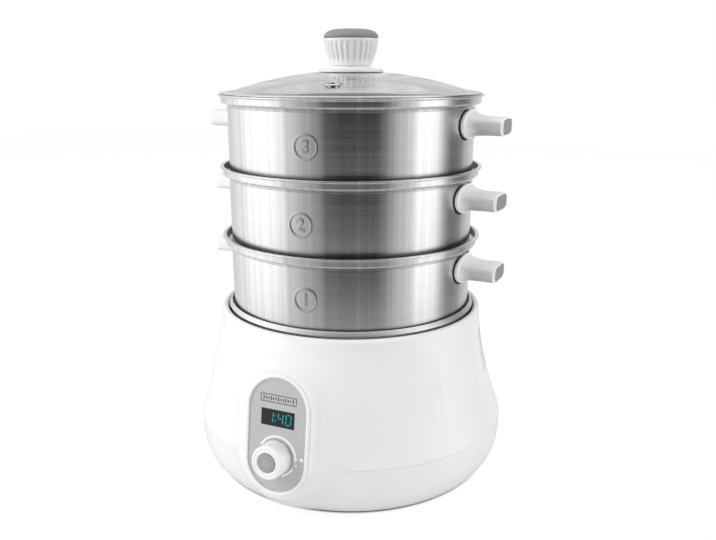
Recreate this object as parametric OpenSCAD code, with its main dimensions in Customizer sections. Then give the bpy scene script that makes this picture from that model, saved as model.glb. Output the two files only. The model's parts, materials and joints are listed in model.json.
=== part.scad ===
// Electric food steamer: a heated water base, three nesting baskets and a glass lid.
// The origin is on the pot's axis at worktop level, +Z is up and the control panel faces -Y.

/* [Base shells] */
// How far the rim's outside lies beyond the inside of the bowl
rim_step = 15.5; // [15:0.1:18]
// Width of the rounded rim
rim_w = 5.9; // [5:0.1:6.5]
// Height of the rim above the worktop
rim_z = 148; // [146:1:158]
// How far the base flares out from its rim to the seam between the shells
flare = 22.7; // [18:0.1:26]
// Height of the seam between the shells
seam_z = 46; // [42:1:52]
// How far the skirt draws in from the seam to its lower edge
tuck = 13; // [10:0.1:15]
// Height of the lower edge above the worktop
skirt_z = 2; // [1.8:0.1:2.4]
// Height of the underside of the floor
floor_z = 2.5; // [2.5:0.1:3]
// Thickness of the floor
floor_t = 3; // [2.5:0.1:4]
// Wall of the plastic shells
shell_wall = 2.6; // [2.2:0.1:3.2]
// Radius of one rubber foot
foot_r = 10; // [8:0.5:13]
// Distance of the feet inside the skirt's lower edge
foot_inset = 32.4; // [28:0.1:40]
// Radius of the flat pad in the middle of the underside
pad_face_r = 30; // [20:1:36]
// Distance of the housing screws inside the rim's outside
column_inset = 1.7; // [1:0.1:3]
// Radius of the columns that take the housing screws
column_r = 5; // [4.5:0.1:6]
// Radius of the housing screws
screw_r = 1.6; // [1.4:0.05:2]
// Length of the housing screws
screw_len = 22; // [18:1:26]
// Length of the vent slots in the floor
slot_len = 34; // [24:1:40]
// Bore of the mains cable gland
gland_bore_r = 3.5; // [3:0.1:4]
// Height of the cable gland's axis
gland_z = 26; // [22:1:30]

/* [Water bowl] */
// Inner radius of the water bowl
bowl_r = 103.2; // [96:0.1:112]
// Thickness of the steel bowl
bowl_t = 0.8; // [0.6:0.1:1]
// Height of the inside of the bowl's floor
bowl_z = 62; // [60:1:66]
// Radius of the bowl's lower corner
bowl_corner = 12; // [6:1:16]
// Depth of the bowl's seat below the rim
seat_drop = 5; // [4:0.1:8]
// How far the bowl's lip stands above the rim
lip_up = 4.5; // [3:0.1:6]
// Thickness of the silicone ring under the bowl
gasket_t = 1.5; // [1:0.1:2]
// Distance of the heater's spreader plate inside the bowl's wall
plate_inset = 31.2; // [28:0.1:40]
// Thickness of the spreader plate
plate_t = 3.3; // [2.5:0.1:4]
// Distance of the heating ring inside the plate's edge
ring_inset = 20; // [16:1:26]
// Radius of the heating tube
tube_r = 3.5; // [3:0.1:4]
// Width of the water level window
level_w = 15; // [12:0.5:18]
// Height of the water level window
level_h = 39; // [30:1:42]
// Depth of the window's centre below the rim
level_drop = 37.5; // [36:0.5:40]
// Turn of the window from +X towards the back
level_turn = 8; // [0:1:20]
// Radius of the tubes that join the window to the bowl
level_tube_r = 3.2; // [2.6:0.1:4]

/* [Control panel] */
// How far the panel's centre stands out beyond the seam
panel_out = 3.8; // [2:0.1:6]
// Depth of the faceplate's upper end below the rim
panel_top = 26.9; // [24:0.1:32]
// Height of the faceplate's lower end above the worktop
panel_foot = 25.9; // [24:0.1:32]
// Lean of the panel
panel_tilt = 8; // [5:0.5:10]
// Half the width of the faceplate
plate_half_w = 26.35; // [25:0.05:28]
// Thickness of the faceplate
face_t = 1.6; // [1.2:0.1:2]
// Width of the display window
lcd_w = 30.1; // [28:0.1:34]
// Height of the display window
lcd_h = 13.8; // [12:0.1:16]
// Height of the display window above the panel's centre
lcd_t = 13.7; // [11:0.1:16]
// Distance of the knob's axis below the panel's centre
knob_drop = 18.3; // [16:0.1:20]
// Radius of the knob at its foot
dial_r = 14.2; // [13.5:0.1:17]
// How far the knob stands out of the panel
dial_h = 16; // [14:0.1:18]
// Radius of the power button
button_r = 7.6; // [7:0.1:8]
// Radius of the knob's sleeve
sleeve_r = 5; // [4.5:0.1:5.5]
// Travel of the power button
button_travel = 1; // [0.5:0.1:1.2]

/* [Baskets] */
// How far a basket's wall lies outside the wall of the bowl
ledge_w = 5; // [4.5:0.1:6]
// How much narrower the wall is at the bottom
wall_taper = 0.7; // [0.3:0.1:1]
// Thickness of the basket's steel
steel_t = 0.9; // [0.7:0.1:1]
// Height of one basket
basket_h = 69.6; // [64:0.1:82]
// How deep one basket sits in the collar below it
nest = 8.6; // [8:0.1:11]
// How far the collar stands out beyond the wall
collar_step = 5; // [4:0.1:7]
// How far the lip stands out beyond the collar
lip_w = 2.5; // [2:0.1:4]
// How far the neck that seats the next basket draws in
bead = 1; // [0.9:0.1:1.6]
// Radius of the steam holes
hole_r = 3; // [1.5:0.1:3.5]
// Distance between the rings of steam holes
hole_pitch = 18; // [16:1:19]
// Depth of the number badge below the neck
badge_drop = 27.9; // [24:0.1:34]
// Radius of the number badge
badge_r = 10.3; // [8:0.1:11]
// Turn of the badge from the middle between the handles
badge_turn = 6; // [0:1:10]

/* [Handles] */
// How far a handle's tip lies from the wall
handle_reach = 31.9; // [28:0.1:40]
// Depth of a grip's centre below the neck
handle_drop = 15.8; // [15:0.1:22]
// How much higher the base that meets the wall sits
pad_up = 1; // [0:0.1:2.5]
// Width of the grip
grip_w = 31; // [26:0.5:34]
// Thickness of the grip
grip_t = 14.8; // [12:0.1:16]
// Half the height of the base that meets the wall
pad_r = 12.6; // [11:0.1:13]
// Half the width of the base that meets the wall
pad_half_w = 21.5; // [19:0.5:24]
// Thickness of the gasket behind a handle
pad_gasket = 0.6; // [0.4:0.1:1]
// Distance of a handle's screws from its middle
handle_screw = 9; // [7:0.5:10]
// Radius of a handle's screws
handle_screw_r = 1.7; // [1.4:0.05:2]
// Length of a handle's screws
handle_screw_len = 13; // [10:1:16]

/* [Lid] */
// Outer radius of the dome's sphere
dome_r = 325; // [300:5:380]
// Thickness of the glass
glass_t = 4; // [3.5:0.1:4.5]
// Gap between the glass's edge and the collar round it
glass_gap = 2.1; // [1.8:0.1:3]
// Depth of the glass's edge below the highest lip
glass_sink = 0.15; // [0:0.05:0.5]
// How far the lid's steel flange reaches beyond the collar
flange_over = 0.6; // [0.3:0.1:1.5]
// Distance of the steam vent inside the glass's edge
vent_inset = 32.2; // [26:0.1:50]
// Radius of the steam vent
vent_r = 2.8; // [2:0.1:3]
// Radius of the lid knob where it meets its cap
knob_top_r = 23.6; // [21:0.1:28]
// Radius of the lid knob at its foot
knob_foot_r = 17.6; // [15:0.1:20]
// Radius of the flange under the knob
knob_flange_r = 27.7; // [25:0.1:32]
// Height of the knob's fluted body
knob_h = 23.1; // [19:0.1:32]
// Height of the knob's cap
cap_h = 7.3; // [6:0.1:10]
// Number of flutes round the knob
flutes = 28; // [20:2:32]

/* [Circuit boards] */
// Width of the power board
power_w = 82; // [70:1:90]
// Depth of the power board
power_d = 70; // [60:1:80]
// Height of the tallest piece on the power board
power_tall = 22; // [16:1:23]
// Thickness of the circuit boards
board_t = 1.6; // [1:0.1:2]
// Height of the posts under the power board
post_h = 6.5; // [5:0.1:7]
// Radius of the posts that hold the circuit boards
post_r = 3; // [2.6:0.1:3.6]
// Clearance between the heater's leads and the pieces on the power board
part_gap = 2; // [1:0.1:5]
// Radius of the heater's leads
lead_r = 1.1; // [0.8:0.1:1.5]

/* [Hidden] */
$fn = 96;
gap = 0.3;          // clearance between pieces that lift apart
snug = 0.1;         // clearance between pieces that stay together
tier_turn = [-1.8, -3.6, -0.8];
corners = [45, 135, 225, 315];
rim_r = bowl_r + rim_step;
seam_r = rim_r + flare;
skirt_r = seam_r - tuck;
foot_place = skirt_r - foot_inset;
foot_hole_r = foot_r / 4;
column_place = rim_r - column_inset;
slot_out = foot_place - 12;
plate_r = bowl_r - plate_inset;
ring_r = plate_r - ring_inset;
panel_dist = seam_r + panel_out;
plate_half_h = (rim_z - panel_top - panel_foot) / 2;
panel_z = panel_foot + plate_half_h;
wall_r = bowl_r + ledge_w;
collar_r = wall_r + collar_step;
lip_r = collar_r + lip_w;
flange_r = collar_r + flange_over;
level_z = rim_z - level_drop;
floor_top = floor_z + floor_t;
seat_z = rim_z - seat_drop;
shelf_z = seat_z - bowl_t - gasket_t;
shelf_t = 2.6;
rim_in = rim_r - rim_w;
bowl_under = bowl_z - bowl_t;
plate_z = bowl_under - plate_t;
ring_z = plate_z - tube_r - 0.05;
ring_open = 20;
lead_x = ring_r * cos(ring_open + 4);
lead_y = ring_r * sin(ring_open + 4);
terminal_z = ring_z - 10;
board_z = floor_top + post_h;
board_top = board_z + board_t;
board_hole = 1.2;
front_wall = face_t + shell_wall;
card_n = -front_wall - 8.2;
card_half = [plate_half_w - 4.35, plate_half_h - 7.6];
card_post = [card_half[0] - 4, card_half[1] - 6];
power_x = -1;
coil = [30, 24];
relay = [22, 16];
power_post = [for (x = [5, power_w - 5], y = [-1, 1]) [power_x + x, y * (power_d / 2 - 5)]];
bush_r = 7;
first_z = seat_z + gap;
pitch = basket_h - nest;
top_lip = first_z + 2 * pitch + basket_h;
collar_in = collar_r - steel_t;
neck_r = wall_r - steel_t - bead;
badge_z = pitch - badge_drop;
handle_z = pitch - handle_drop;
handle_tip = wall_r + handle_reach;
glass_edge = collar_in - glass_gap;
vent_place = glass_edge - vent_inset;
apex = top_lip + sag(dome_r, glass_edge) - glass_sink;
flange_z = apex + 0.4;
body_z = flange_z + 3.5;
cap_z = body_z + knob_h + 0.3;

// Outer radius of the base at a height
function bell(z) = rim_r + (seam_r - rim_r) * pow(1 - (z - seam_z) / (rim_z - seam_z), 1.75);
function skirt(z) = seam_r - (seam_r - skirt_r) * pow((seam_z - z) / (seam_z - skirt_z), 3.3);
function shell_r(z) = z > seam_z ? bell(z) : skirt(z);
// Heights in equal steps from one to the other
function steps(from, to, n) = [for (i = [0:n]) from + (to - from) * i / n];
// Height of a sphere of radius r below its top, at a distance from its axis
function sag(r, at) = r - sqrt(r * r - at * at);
// Outer radius of a basket's wall at a height above its floor
function basket_r(z) = wall_r - wall_taper * (1 - z / (pitch - 2.4));

module stadium(half_w, half_h) {
    square([2 * half_w, 2 * (half_h - half_w)], center = true);
    for (side = [-1, 1]) translate([0, side * (half_h - half_w)]) circle(half_w);
}

module round_box(w, h, r) {
    square([w - 2 * r, h], center = true);
    square([w, h - 2 * r], center = true);
    for (x = [-1, 1], y = [-1, 1]) translate([x * (w / 2 - r), y * (h / 2 - r)]) circle(r);
}

// Places its children in the panel's frame: +X across, +Y up the panel, +Z out of it
module at_panel() {
    translate([0, -panel_dist, panel_z]) rotate([90 - panel_tilt, 0, 0]) children();
}

module at_dial() {
    at_panel() translate([0, -knob_drop, 0]) children();
}

// One long thin slab with round ends, for the soft boss around the panel
module boss_slab(half_w, half_h, n, shift) {
    for (side = [-1, 1]) translate([0, shift + side * (half_h - half_w), n])
        cylinder(r = half_w, h = 0.1, $fn = 32);
}

module boss(grow, front, depth) {
    flank = depth - 3;
    at_panel() hull() {
        boss_slab(plate_half_w + 4.2 + grow, plate_half_h + 4.2 + grow, front - 0.1, 0);
        boss_slab(plate_half_w + 7 + grow, plate_half_h + 6.5 + grow, front - 3, 0);
        boss_slab(plate_half_w + 7 + 0.63 * flank + grow,
            plate_half_h + 6.5 + 0.24 * flank + grow, -depth, 0.185 * flank);
    }
}

module interior() {
    rotate_extrude() polygon(concat([[0, floor_top]],
        [for (z = steps(floor_top, seam_z, 6)) [shell_r(z) - shell_wall, z]],
        [for (z = steps(seam_z + 8, shelf_z - shelf_t, 10)) [shell_r(z) - shell_wall, z]],
        [[0, shelf_z - shelf_t]]));
}

module level_slot(clear, from) {
    rotate(level_turn) translate([from, -level_w / 2 + clear, level_z - level_h / 2 + clear])
        cube([seam_r - from, level_w - 2 * clear, level_h - 2 * clear]);
}

// Places its children where the window's two tubes cross the radius given, +Z outwards
module at_tubes(from) {
    for (side = [-1, 1]) rotate(level_turn)
        translate([from, 0, level_z + side * (level_h / 2 - 6)]) rotate([0, 90, 0]) children();
}

module upper_housing() {
    color("white") {
        difference() {
            union() {
                difference() {
                    union() {
                        rotate_extrude() polygon(concat(
                            [for (z = steps(seam_z, rim_z - rim_w / 2, 12)) [shell_r(z), z]],
                            [[rim_in, rim_z - rim_w / 2], [rim_in, seam_z]]));
                        boss(0, 0, 30);
                    }
                    interior();
                    translate([0, 0, shelf_z]) cylinder(r = rim_in, h = rim_z);
                    cylinder(r = bowl_r + bowl_t + 1.2, h = rim_z);
                    boss(-shell_wall, -front_wall, 36);
                }
                rotate_extrude() translate([rim_in + rim_w / 2, rim_z - rim_w / 2]) circle(rim_w / 2);
                intersection() {
                    rotate_extrude() polygon(concat([[0, 0]],
                        [for (z = steps(skirt_z, seam_z, 6)) [shell_r(z) - shell_wall - 1, z]],
                        [for (z = steps(seam_z, rim_z, 10)) [shell_r(z) - 1, z]], [[0, rim_z]]));
                    for (a = corners) rotate(a) translate([column_place, 0, floor_top + 5])
                        cylinder(r = column_r, h = shelf_z - floor_top - 5.5);
                }
                at_panel() for (x = [-1, 1], y = [-1, 1])
                    translate([x * card_post[0], y * card_post[1], card_n])
                        cylinder(r = post_r, h = -card_n - front_wall + 0.01);
            }
            for (a = corners) rotate(a) translate([column_place, 0, floor_z])
                cylinder(r = screw_r, h = screw_len + 2);
            level_slot(0, bowl_r + bowl_t + 6);
            at_panel() {
                translate([0, 0, -face_t]) linear_extrude(5)
                    stadium(plate_half_w + snug, plate_half_h + snug);
                translate([0, lcd_t, -front_wall / 2 - 2])
                    cube([lcd_w - 4, lcd_h - 4, front_wall + 4], center = true);
                for (x = [-1, 1], y = [-1, 1])
                    translate([x * card_post[0], y * card_post[1], card_n - 1])
                        cylinder(r = board_hole, h = 7);
            }
            at_dial() translate([0, 0, -front_wall - 1]) cylinder(r = bush_r + snug, h = 8);
        }
    }
}

module lower_housing() {
    color("white") difference() {
        union() {
            difference() {
                rotate_extrude() polygon(concat([[0, floor_z], [skirt_r - 4, floor_z]],
                    [for (z = steps(skirt_z, seam_z - 0.2, 10)) [shell_r(z), z]],
                    [[seam_r - shell_wall, seam_z - 0.2]],
                    [for (z = steps(seam_z - 6, floor_top, 6)) [shell_r(z) - shell_wall, z]],
                    [[0, floor_top]]));
                boss(gap, 0, 36);
            }
            for (a = corners) rotate(a) translate([column_place, 0, floor_z])
                cylinder(r = column_r + 1.5, h = floor_t + 5);
            for (p = power_post) translate([p[0], p[1], floor_top]) cylinder(r = post_r, h = post_h);
            translate([0, seam_r - 9, gland_z]) rotate([-90, 0, 0]) cylinder(r = 11, h = 9);
            translate([0, 0, floor_z - 0.4]) cylinder(r = pad_face_r, h = 1);
        }
        for (a = corners) rotate(a) translate([column_place, 0, floor_z]) {
            translate([0, 0, -1]) cylinder(r = 2.5 * screw_r, h = 3.6);
            cylinder(r = screw_r + 0.4, h = screw_len);
        }
        for (p = power_post) translate([p[0], p[1], floor_top + 0.5])
            cylinder(r = board_hole, h = post_h + 0.5);
        for (a = corners) rotate(a) translate([foot_place, 0, 0])
            cylinder(r = foot_hole_r, h = floor_top + 5);
        for (i = [-3:3]) translate([i * 8 - 1.5, slot_out - slot_len, 0])
            cube([3, slot_len, floor_top + 5]);
        translate([0, seam_r - 20, gland_z]) rotate([-90, 0, 0]) cylinder(r = 6, h = 40);
    }
}

module rubber_feet() {
    color("dimgray") for (a = corners) rotate(a) translate([foot_place, 0, 0]) {
        cylinder(r = foot_r, h = floor_z);
        cylinder(r = foot_hole_r - 0.05, h = floor_top + 0.1);
        translate([0, 0, floor_top + 0.1])
            cylinder(r1 = 1.36 * foot_hole_r, r2 = 0.8 * foot_hole_r, h = 0.96 * foot_hole_r);
    }
}

module housing_screws() {
    color("silver") for (a = corners) rotate(a) translate([column_place, 0, floor_z]) {
        translate([0, 0, 0.2]) cylinder(r = 2.25 * screw_r, h = 2.3);
        cylinder(r = screw_r - 0.05, h = screw_len);
    }
}

module water_bowl() {
    inside = wall_r + 1.2;
    outside = inside + bowl_t;
    top = rim_z + lip_up;
    corner_in = [for (a = steps(0, 90, 6))
        [bowl_r - bowl_corner * (1 - cos(a)), bowl_z + bowl_corner * (1 - sin(a))]];
    corner_out = [for (a = steps(90, 0, 6))
        [bowl_r - bowl_corner + (bowl_corner + bowl_t) * cos(a),
         bowl_z + bowl_corner - (bowl_corner + bowl_t) * sin(a)]];
    color("silver") difference() {
        rotate_extrude() polygon(concat(
            [[outside, top - 0.9], [outside + 0.5, top - 0.7], [outside + 0.4, top],
             [inside + 0.3, top], [inside, top - 0.4], [inside, seat_z + 0.5],
             [inside - 0.5, seat_z], [bowl_r, seat_z]], corner_in,
            [[0, bowl_z], [0, bowl_under]], corner_out,
            [[bowl_r + bowl_t, seat_z - bowl_t], [outside - 0.5, seat_z - bowl_t],
             [outside, seat_z - bowl_t + 0.5]]));
        at_tubes(bowl_r - 5) cylinder(r = level_tube_r + 0.9, h = 5 + bowl_t + gap);
    }
}

module bowl_gasket() {
    color("dimgray") translate([0, 0, shelf_z]) difference() {
        cylinder(r = wall_r, h = gasket_t);
        translate([0, 0, -1]) cylinder(r = bowl_r + bowl_t + 1.2, h = gasket_t + 2);
    }
}

module heating_plate() {
    color("gainsboro") translate([0, 0, plate_z]) cylinder(r = plate_r, h = plate_t);
}

module heating_element() {
    reach = ring_r + 3 * tube_r;
    color("gray") {
        difference() {
            translate([0, 0, ring_z]) rotate_extrude() translate([ring_r, 0]) circle(tube_r);
            translate([0, 0, ring_z - 2 * tube_r]) linear_extrude(4 * tube_r) polygon([[0, 0],
                [reach, -reach * tan(ring_open)], [reach, reach * tan(ring_open)]]);
        }
        for (side = [-1, 1]) translate([lead_x, side * lead_y, terminal_z])
            cylinder(r = 2, h = ring_z - terminal_z);
    }
}

module thermostat() {
    color("beige") translate([0, 0, plate_z - 7]) {
        cylinder(r = 9, h = 7);
        translate([0, 0, 5.5]) cylinder(r = 12, h = 1.5);
        for (side = [-1, 1]) translate([side * 4 - 0.4, -3, -6]) cube([0.8, 6, 6.1]);
    }
}

module thermal_fuse() {
    color("silver") translate([22 - ring_r, -9, plate_z - 2.7]) rotate([-90, 0, 0]) {
        cylinder(r = 2.6, h = 18);
        translate([0, 0, -5]) cylinder(r = 0.8, h = 28);
    }
}

module level_window() {
    back = bowl_r + bowl_t + 3.4;
    tube = back - bowl_r;
    color("lightcyan", 0.6) difference() {
        union() {
            intersection() {
                level_slot(0.2, back);
                rotate_extrude() polygon(concat([[0, seam_z]],
                    [for (z = steps(seam_z, rim_z, 12)) [shell_r(z) - 0.6, z]], [[0, rim_z]]));
            }
            at_tubes(bowl_r - 4) cylinder(r = level_tube_r, h = tube + 4.1);
        }
        intersection() {
            level_slot(2, back + 1.5);
            rotate_extrude() polygon(concat([[0, seam_z]],
                [for (z = steps(seam_z, rim_z, 12)) [shell_r(z) - 2.6, z]], [[0, rim_z]]));
        }
        at_tubes(bowl_r - 5) cylinder(r = level_tube_r - 1.2, h = tube + 8);
    }
}

module level_seals() {
    color("dimgray") at_tubes(bowl_r + bowl_t + 0.05) difference() {
        cylinder(r = level_tube_r + 2.3, h = 3.3);
        translate([0, 0, -1]) cylinder(r = level_tube_r + 0.05, h = 6);
    }
}

module panel_bezel() {
    color("white") at_panel() difference() {
        union() {
            linear_extrude(1) stadium(plate_half_w + 2.6, plate_half_h + 2.6);
            linear_extrude(1.5) stadium(plate_half_w + 2, plate_half_h + 2);
        }
        translate([0, 0, -1]) linear_extrude(5) stadium(plate_half_w - 0.6, plate_half_h - 0.6);
    }
}

module control_faceplate() {
    color("darkgray") at_panel() translate([0, 0, -face_t]) difference() {
        linear_extrude(face_t) stadium(plate_half_w, plate_half_h);
        translate([0, lcd_t, 0]) cube([lcd_w, lcd_h, 9], center = true);
        translate([0, -knob_drop, -1]) cylinder(r = bush_r + snug, h = 9);
    }
}

module display_window() {
    color("black") at_panel() translate([0, lcd_t, -face_t / 2 - snug / 2])
        cube([lcd_w - 2 * snug, lcd_h - 2 * snug, face_t - snug], center = true);
}

module display_module() {
    depth = -card_n - front_wall - 0.2;
    color("dimgray") at_panel() translate([0, lcd_t, card_n + depth / 2])
        cube([lcd_w + 2, lcd_h + 2, depth], center = true);
}

module control_board() {
    color("green") at_panel() difference() {
        translate([0, 0, card_n - board_t]) linear_extrude(board_t)
            round_box(2 * card_half[0], 2 * card_half[1], 4);
        for (x = [-1, 1], y = [-1, 1])
            translate([x * card_post[0], y * card_post[1], card_n - 5])
                cylinder(r = board_hole + 0.2, h = 10);
    }
}

module encoder_body() {
    color("silver") at_dial() difference() {
        union() {
            translate([-8, -8, card_n]) cube([16, 16, -card_n - front_wall - 0.5]);
            translate([0, 0, card_n]) cylinder(r = bush_r, h = -card_n - 0.2);
        }
        translate([0, 0, card_n - 1]) cylinder(r = sleeve_r + 0.06, h = 20);
    }
}

module tact_switch() {
    color("black") at_dial() translate([0, 0, card_n]) {
        translate([-3, -3, 0]) cube([6, 6, 2]);
        cylinder(r = 1.7, h = 3.7);
    }
}

// One small screw: its head is below z = 0 and its shank above
module small_screw() {
    translate([0, 0, -1.8]) cylinder(r = 2.5, h = 1.8);
    cylinder(r = board_hole - 0.05, h = 6.5);
}

module board_screws() {
    color("silver") {
        at_panel() for (x = [-1, 1], y = [-1, 1])
            translate([x * card_post[0], y * card_post[1], card_n - board_t]) small_screw();
        for (p = power_post) translate([p[0], p[1], board_top]) mirror([0, 0, 1]) small_screw();
    }
}

module power_board() {
    color("green") {
        difference() {
            translate([power_x, -power_d / 2, board_z]) cube([power_w, power_d, board_t]);
            for (p = power_post) translate([p[0], p[1], board_z - 1])
                cylinder(r = board_hole + 0.2, h = 4);
        }
        translate([power_x, 0, board_top]) {
            translate([power_w - 5 - relay[0], lead_r + part_gap - lead_y, 0])
                cube([relay[0], relay[1], 0.7 * power_tall]);
            translate([9, power_d / 2 - 5 - coil[1], 0]) cube([coil[0], coil[1], power_tall]);
            translate([31, -power_d / 2 + 13, 0]) cylinder(r = 6, h = 0.73 * power_tall);
        }
    }
}

module heater_leads() {
    color("crimson") for (side = [-1, 1])
        translate([lead_x, side * lead_y, board_top]) cylinder(r = lead_r, h = terminal_z - board_top);
}

module board_cable() {
    // Height and depth at which the cable leaves the back of the control board
    lift = -30;
    back = -panel_dist + lift * sin(panel_tilt) - (card_n - board_t) * cos(panel_tilt);
    top = panel_z + lift * cos(panel_tilt) + (card_n - board_t) * sin(panel_tilt);
    color("lightgray") {
        translate([9, back + 0.3, top]) cube([10, -20 - back, 0.8]);
        translate([9, -20.5, board_top]) cube([10, 0.8, top - board_top + 0.8]);
    }
}

module cable_gland() {
    color("dimgray") translate([0, seam_r, gland_z]) rotate([-90, 0, 0]) difference() {
        union() {
            cylinder(r = 9, h = 2.5);
            translate([0, 0, -13]) cylinder(r = 5.9, h = 14);
            translate([0, 0, -12]) cylinder(r = 8.5, h = 2.9);
        }
        translate([0, 0, -14]) cylinder(r = gland_bore_r, h = 20);
    }
}

module timer_knob() {
    cup = button_r + gap;
    foot = 0.8;
    color("whitesmoke") at_dial() rotate_extrude() polygon([
        [3, card_n + 2.4], [sleeve_r, card_n + 2.4], [sleeve_r, 4], [dial_r - 2.4, 4],
        [dial_r - 2.4, foot], [dial_r, foot], [dial_r - 0.7, dial_h - 1.8],
        [dial_r - 1.5, dial_h - 0.5], [dial_r - 3.2, dial_h], [dial_r - 4, dial_h - 0.5],
        [dial_r - 4.8, dial_h], [cup + 0.7, dial_h], [cup, dial_h - 0.7], [cup, 6.5], [3, 6.5]]);
}

module power_button() {
    stem_end = card_n + 3.7 + button_travel + snug;
    color("slategray") at_dial() {
        translate([0, 0, dial_h - 3.9]) cylinder(r = button_r, h = 3.4);
        translate([0, 0, dial_h - 0.5]) cylinder(r1 = button_r, r2 = button_r - 0.6, h = 0.5);
        translate([0, 0, stem_end]) cylinder(r = 2.6, h = dial_h - 3.8 - stem_end);
    }
}

// Strokes of the numbers 1 to 3, in a box 6 wide and 10 high
module stroke(x, y, w, h) {
    translate([x, y]) square([w, h]);
}

module numeral(n) {
    if (n == 1) {
        stroke(-0.8, -5, 1.6, 10);
        stroke(-2.4, 3.2, 2, 1.5);
    } else {
        for (y = [-5, -0.75, 3.5]) stroke(-3, y, 6, 1.5);
        stroke(1.5, 0, 1.5, 5);
        stroke(n == 2 ? -3 : 1.5, -5, 1.5, 5);
    }
}

module basket(tier) {
    wall_top = pitch - 2.4;
    bottom_r = wall_r - wall_taper;
    neck_out = neck_r + steel_t;
    color("silver") translate([0, 0, first_z + tier * pitch]) rotate(tier_turn[tier]) {
        difference() {
            rotate_extrude() polygon([[0, 0], [bottom_r - 0.4, 0], [bottom_r, 0.8],
                [wall_r, wall_top], [neck_out, pitch - 1.5], [neck_out, pitch - 1.1],
                [neck_out + 1.2, pitch - 0.6], [collar_r, pitch + 1.6],
                [collar_r, basket_h - 1.6], [lip_r - 0.5, basket_h - 1.6],
                [lip_r, basket_h - 0.9], [lip_r - 0.4, basket_h], [collar_in + 0.4, basket_h],
                [collar_in, basket_h - 0.6], [collar_in, pitch + 2.2],
                [neck_r + 1.7, pitch + 0.25], [neck_r + 1.3, pitch - gap],
                [neck_r, pitch - gap], [neck_r, pitch - 1.9],
                [wall_r - steel_t, wall_top - 0.5], [bottom_r - steel_t, 1.6],
                [bottom_r - 1.6, steel_t], [0, steel_t]]);
            for (k = [0:5], i = [0:max(1, 6 * k) - 1]) rotate(i * 60 / max(1, k))
                translate([k * hole_pitch, 0, -1]) cylinder(r = hole_r, h = 4);
            for (side = [0, 180], y = [-1, 1]) rotate(side)
                translate([wall_r - 8, y * handle_screw, handle_z + pad_up]) rotate([0, 90, 0])
                    cylinder(r = handle_screw_r + snug, h = 20);
        }
        intersection() {
            translate([0, 0, badge_z - 12]) difference() {
                cylinder(r = wall_r + 0.6, h = 24);
                translate([0, 0, -1]) cylinder(r = basket_r(badge_z) - 0.45, h = 26);
            }
            translate([0, 0, badge_z]) rotate([90, 0, badge_turn]) linear_extrude(wall_r + 9) {
                difference() {
                    circle(badge_r);
                    circle(badge_r - 1.2);
                }
                numeral(tier + 1);
            }
        }
    }
}

// Places its children at both handles of a tier, +X out of the wall and +Z up
module at_handles(tier) {
    translate([0, 0, first_z + tier * pitch + handle_z]) for (side = [0, 180])
        rotate(tier_turn[tier] + side) children();
}

// A disc pair across the handle, for its oval base and its neck
module pad_slab(half_w, half_h, x, h, up) {
    for (side = [-1, 1]) translate([x, side * (half_w - half_h), up]) rotate([0, 90, 0])
        cylinder(r = half_h, h = h, $fn = 32);
}

module grip_slab(w, t, r, x, h) {
    for (y = [-1, 1], z = [-1, 1]) translate([x, y * (w / 2 - r), z * (t / 2 - r)])
        rotate([0, 90, 0]) cylinder(r = r, h = h, $fn = 32);
}

module handles(tier) {
    back = wall_r + pad_gasket + 0.05;
    color("white") at_handles(tier) difference() {
        union() {
            pad_slab(pad_half_w, pad_r, back - 5, 7.2, pad_up);
            hull() {
                pad_slab(pad_half_w - 2.4, pad_r - 1.7, back - 4, 6, pad_up);
                pad_slab(pad_half_w - 5, pad_r - 3.6, back + 5.5, 2, pad_up - 1.2);
            }
            hull() {
                pad_slab(pad_half_w - 5, pad_r - 3.6, back + 5, 2, pad_up - 1.2);
                grip_slab(grip_w, grip_t, 5, back + 14, 2);
            }
            hull() {
                grip_slab(grip_w, grip_t, 5, back + 14, handle_tip - back - 15.5);
                grip_slab(grip_w - 1.2, grip_t - 1.2, 4.6, back + 14, handle_tip - back - 14);
            }
        }
        translate([0, 0, -40]) cylinder(r = back, h = 80);
        translate([handle_tip - 2, 0, 0]) rotate([90, 0, 90]) linear_extrude(5)
            round_box(grip_w - 2.6, grip_t - 2.6, 3.6);
        for (y = [-1, 1]) translate([back - 8, y * handle_screw, pad_up]) rotate([0, 90, 0])
            cylinder(r = handle_screw_r + 0.05, h = 9 + handle_screw_len);
    }
}

module handle_caps(tier) {
    color("gray") at_handles(tier) translate([handle_tip - 2, 0, 0]) rotate([90, 0, 90])
        linear_extrude(1.8) round_box(grip_w - 2.8, grip_t - 2.8, 3.5);
}

module handle_gaskets(tier) {
    low = basket_r(handle_z - 20) + 0.05;
    high = basket_r(handle_z + 17) + 0.05;
    color("black") at_handles(tier) difference() {
        intersection() {
            pad_slab(pad_half_w, pad_r, wall_r - 6, 12, pad_up);
            translate([0, 0, -40]) cylinder(r = wall_r + pad_gasket, h = 80);
        }
        translate([0, 0, -20]) cylinder(r1 = low, r2 = high, h = 37);
        for (y = [-1, 1]) translate([wall_r - 8, y * handle_screw, pad_up]) rotate([0, 90, 0])
            cylinder(r = handle_screw_r + snug, h = 20);
    }
}

module handle_screws(tier) {
    head_r = 1.9 * handle_screw_r;
    reach = handle_screw + head_r;
    head = sqrt(pow(basket_r(handle_z + pad_up - head_r) - steel_t, 2) - reach * reach) - 0.05;
    color("silver") at_handles(tier) for (y = [-1, 1])
        translate([head, y * handle_screw, pad_up]) rotate([0, 90, 0]) {
            translate([0, 0, -2]) cylinder(r = head_r, h = 2);
            translate([0, 0, -1]) cylinder(r = handle_screw_r, h = handle_screw_len + 1);
        }
}

// Places its children on the dome, +Z out of the glass
module on_dome(place, turn) {
    translate([0, 0, apex - dome_r]) rotate(turn) rotate([asin(place / dome_r), 0, 0])
        translate([0, 0, dome_r]) children();
}

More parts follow.
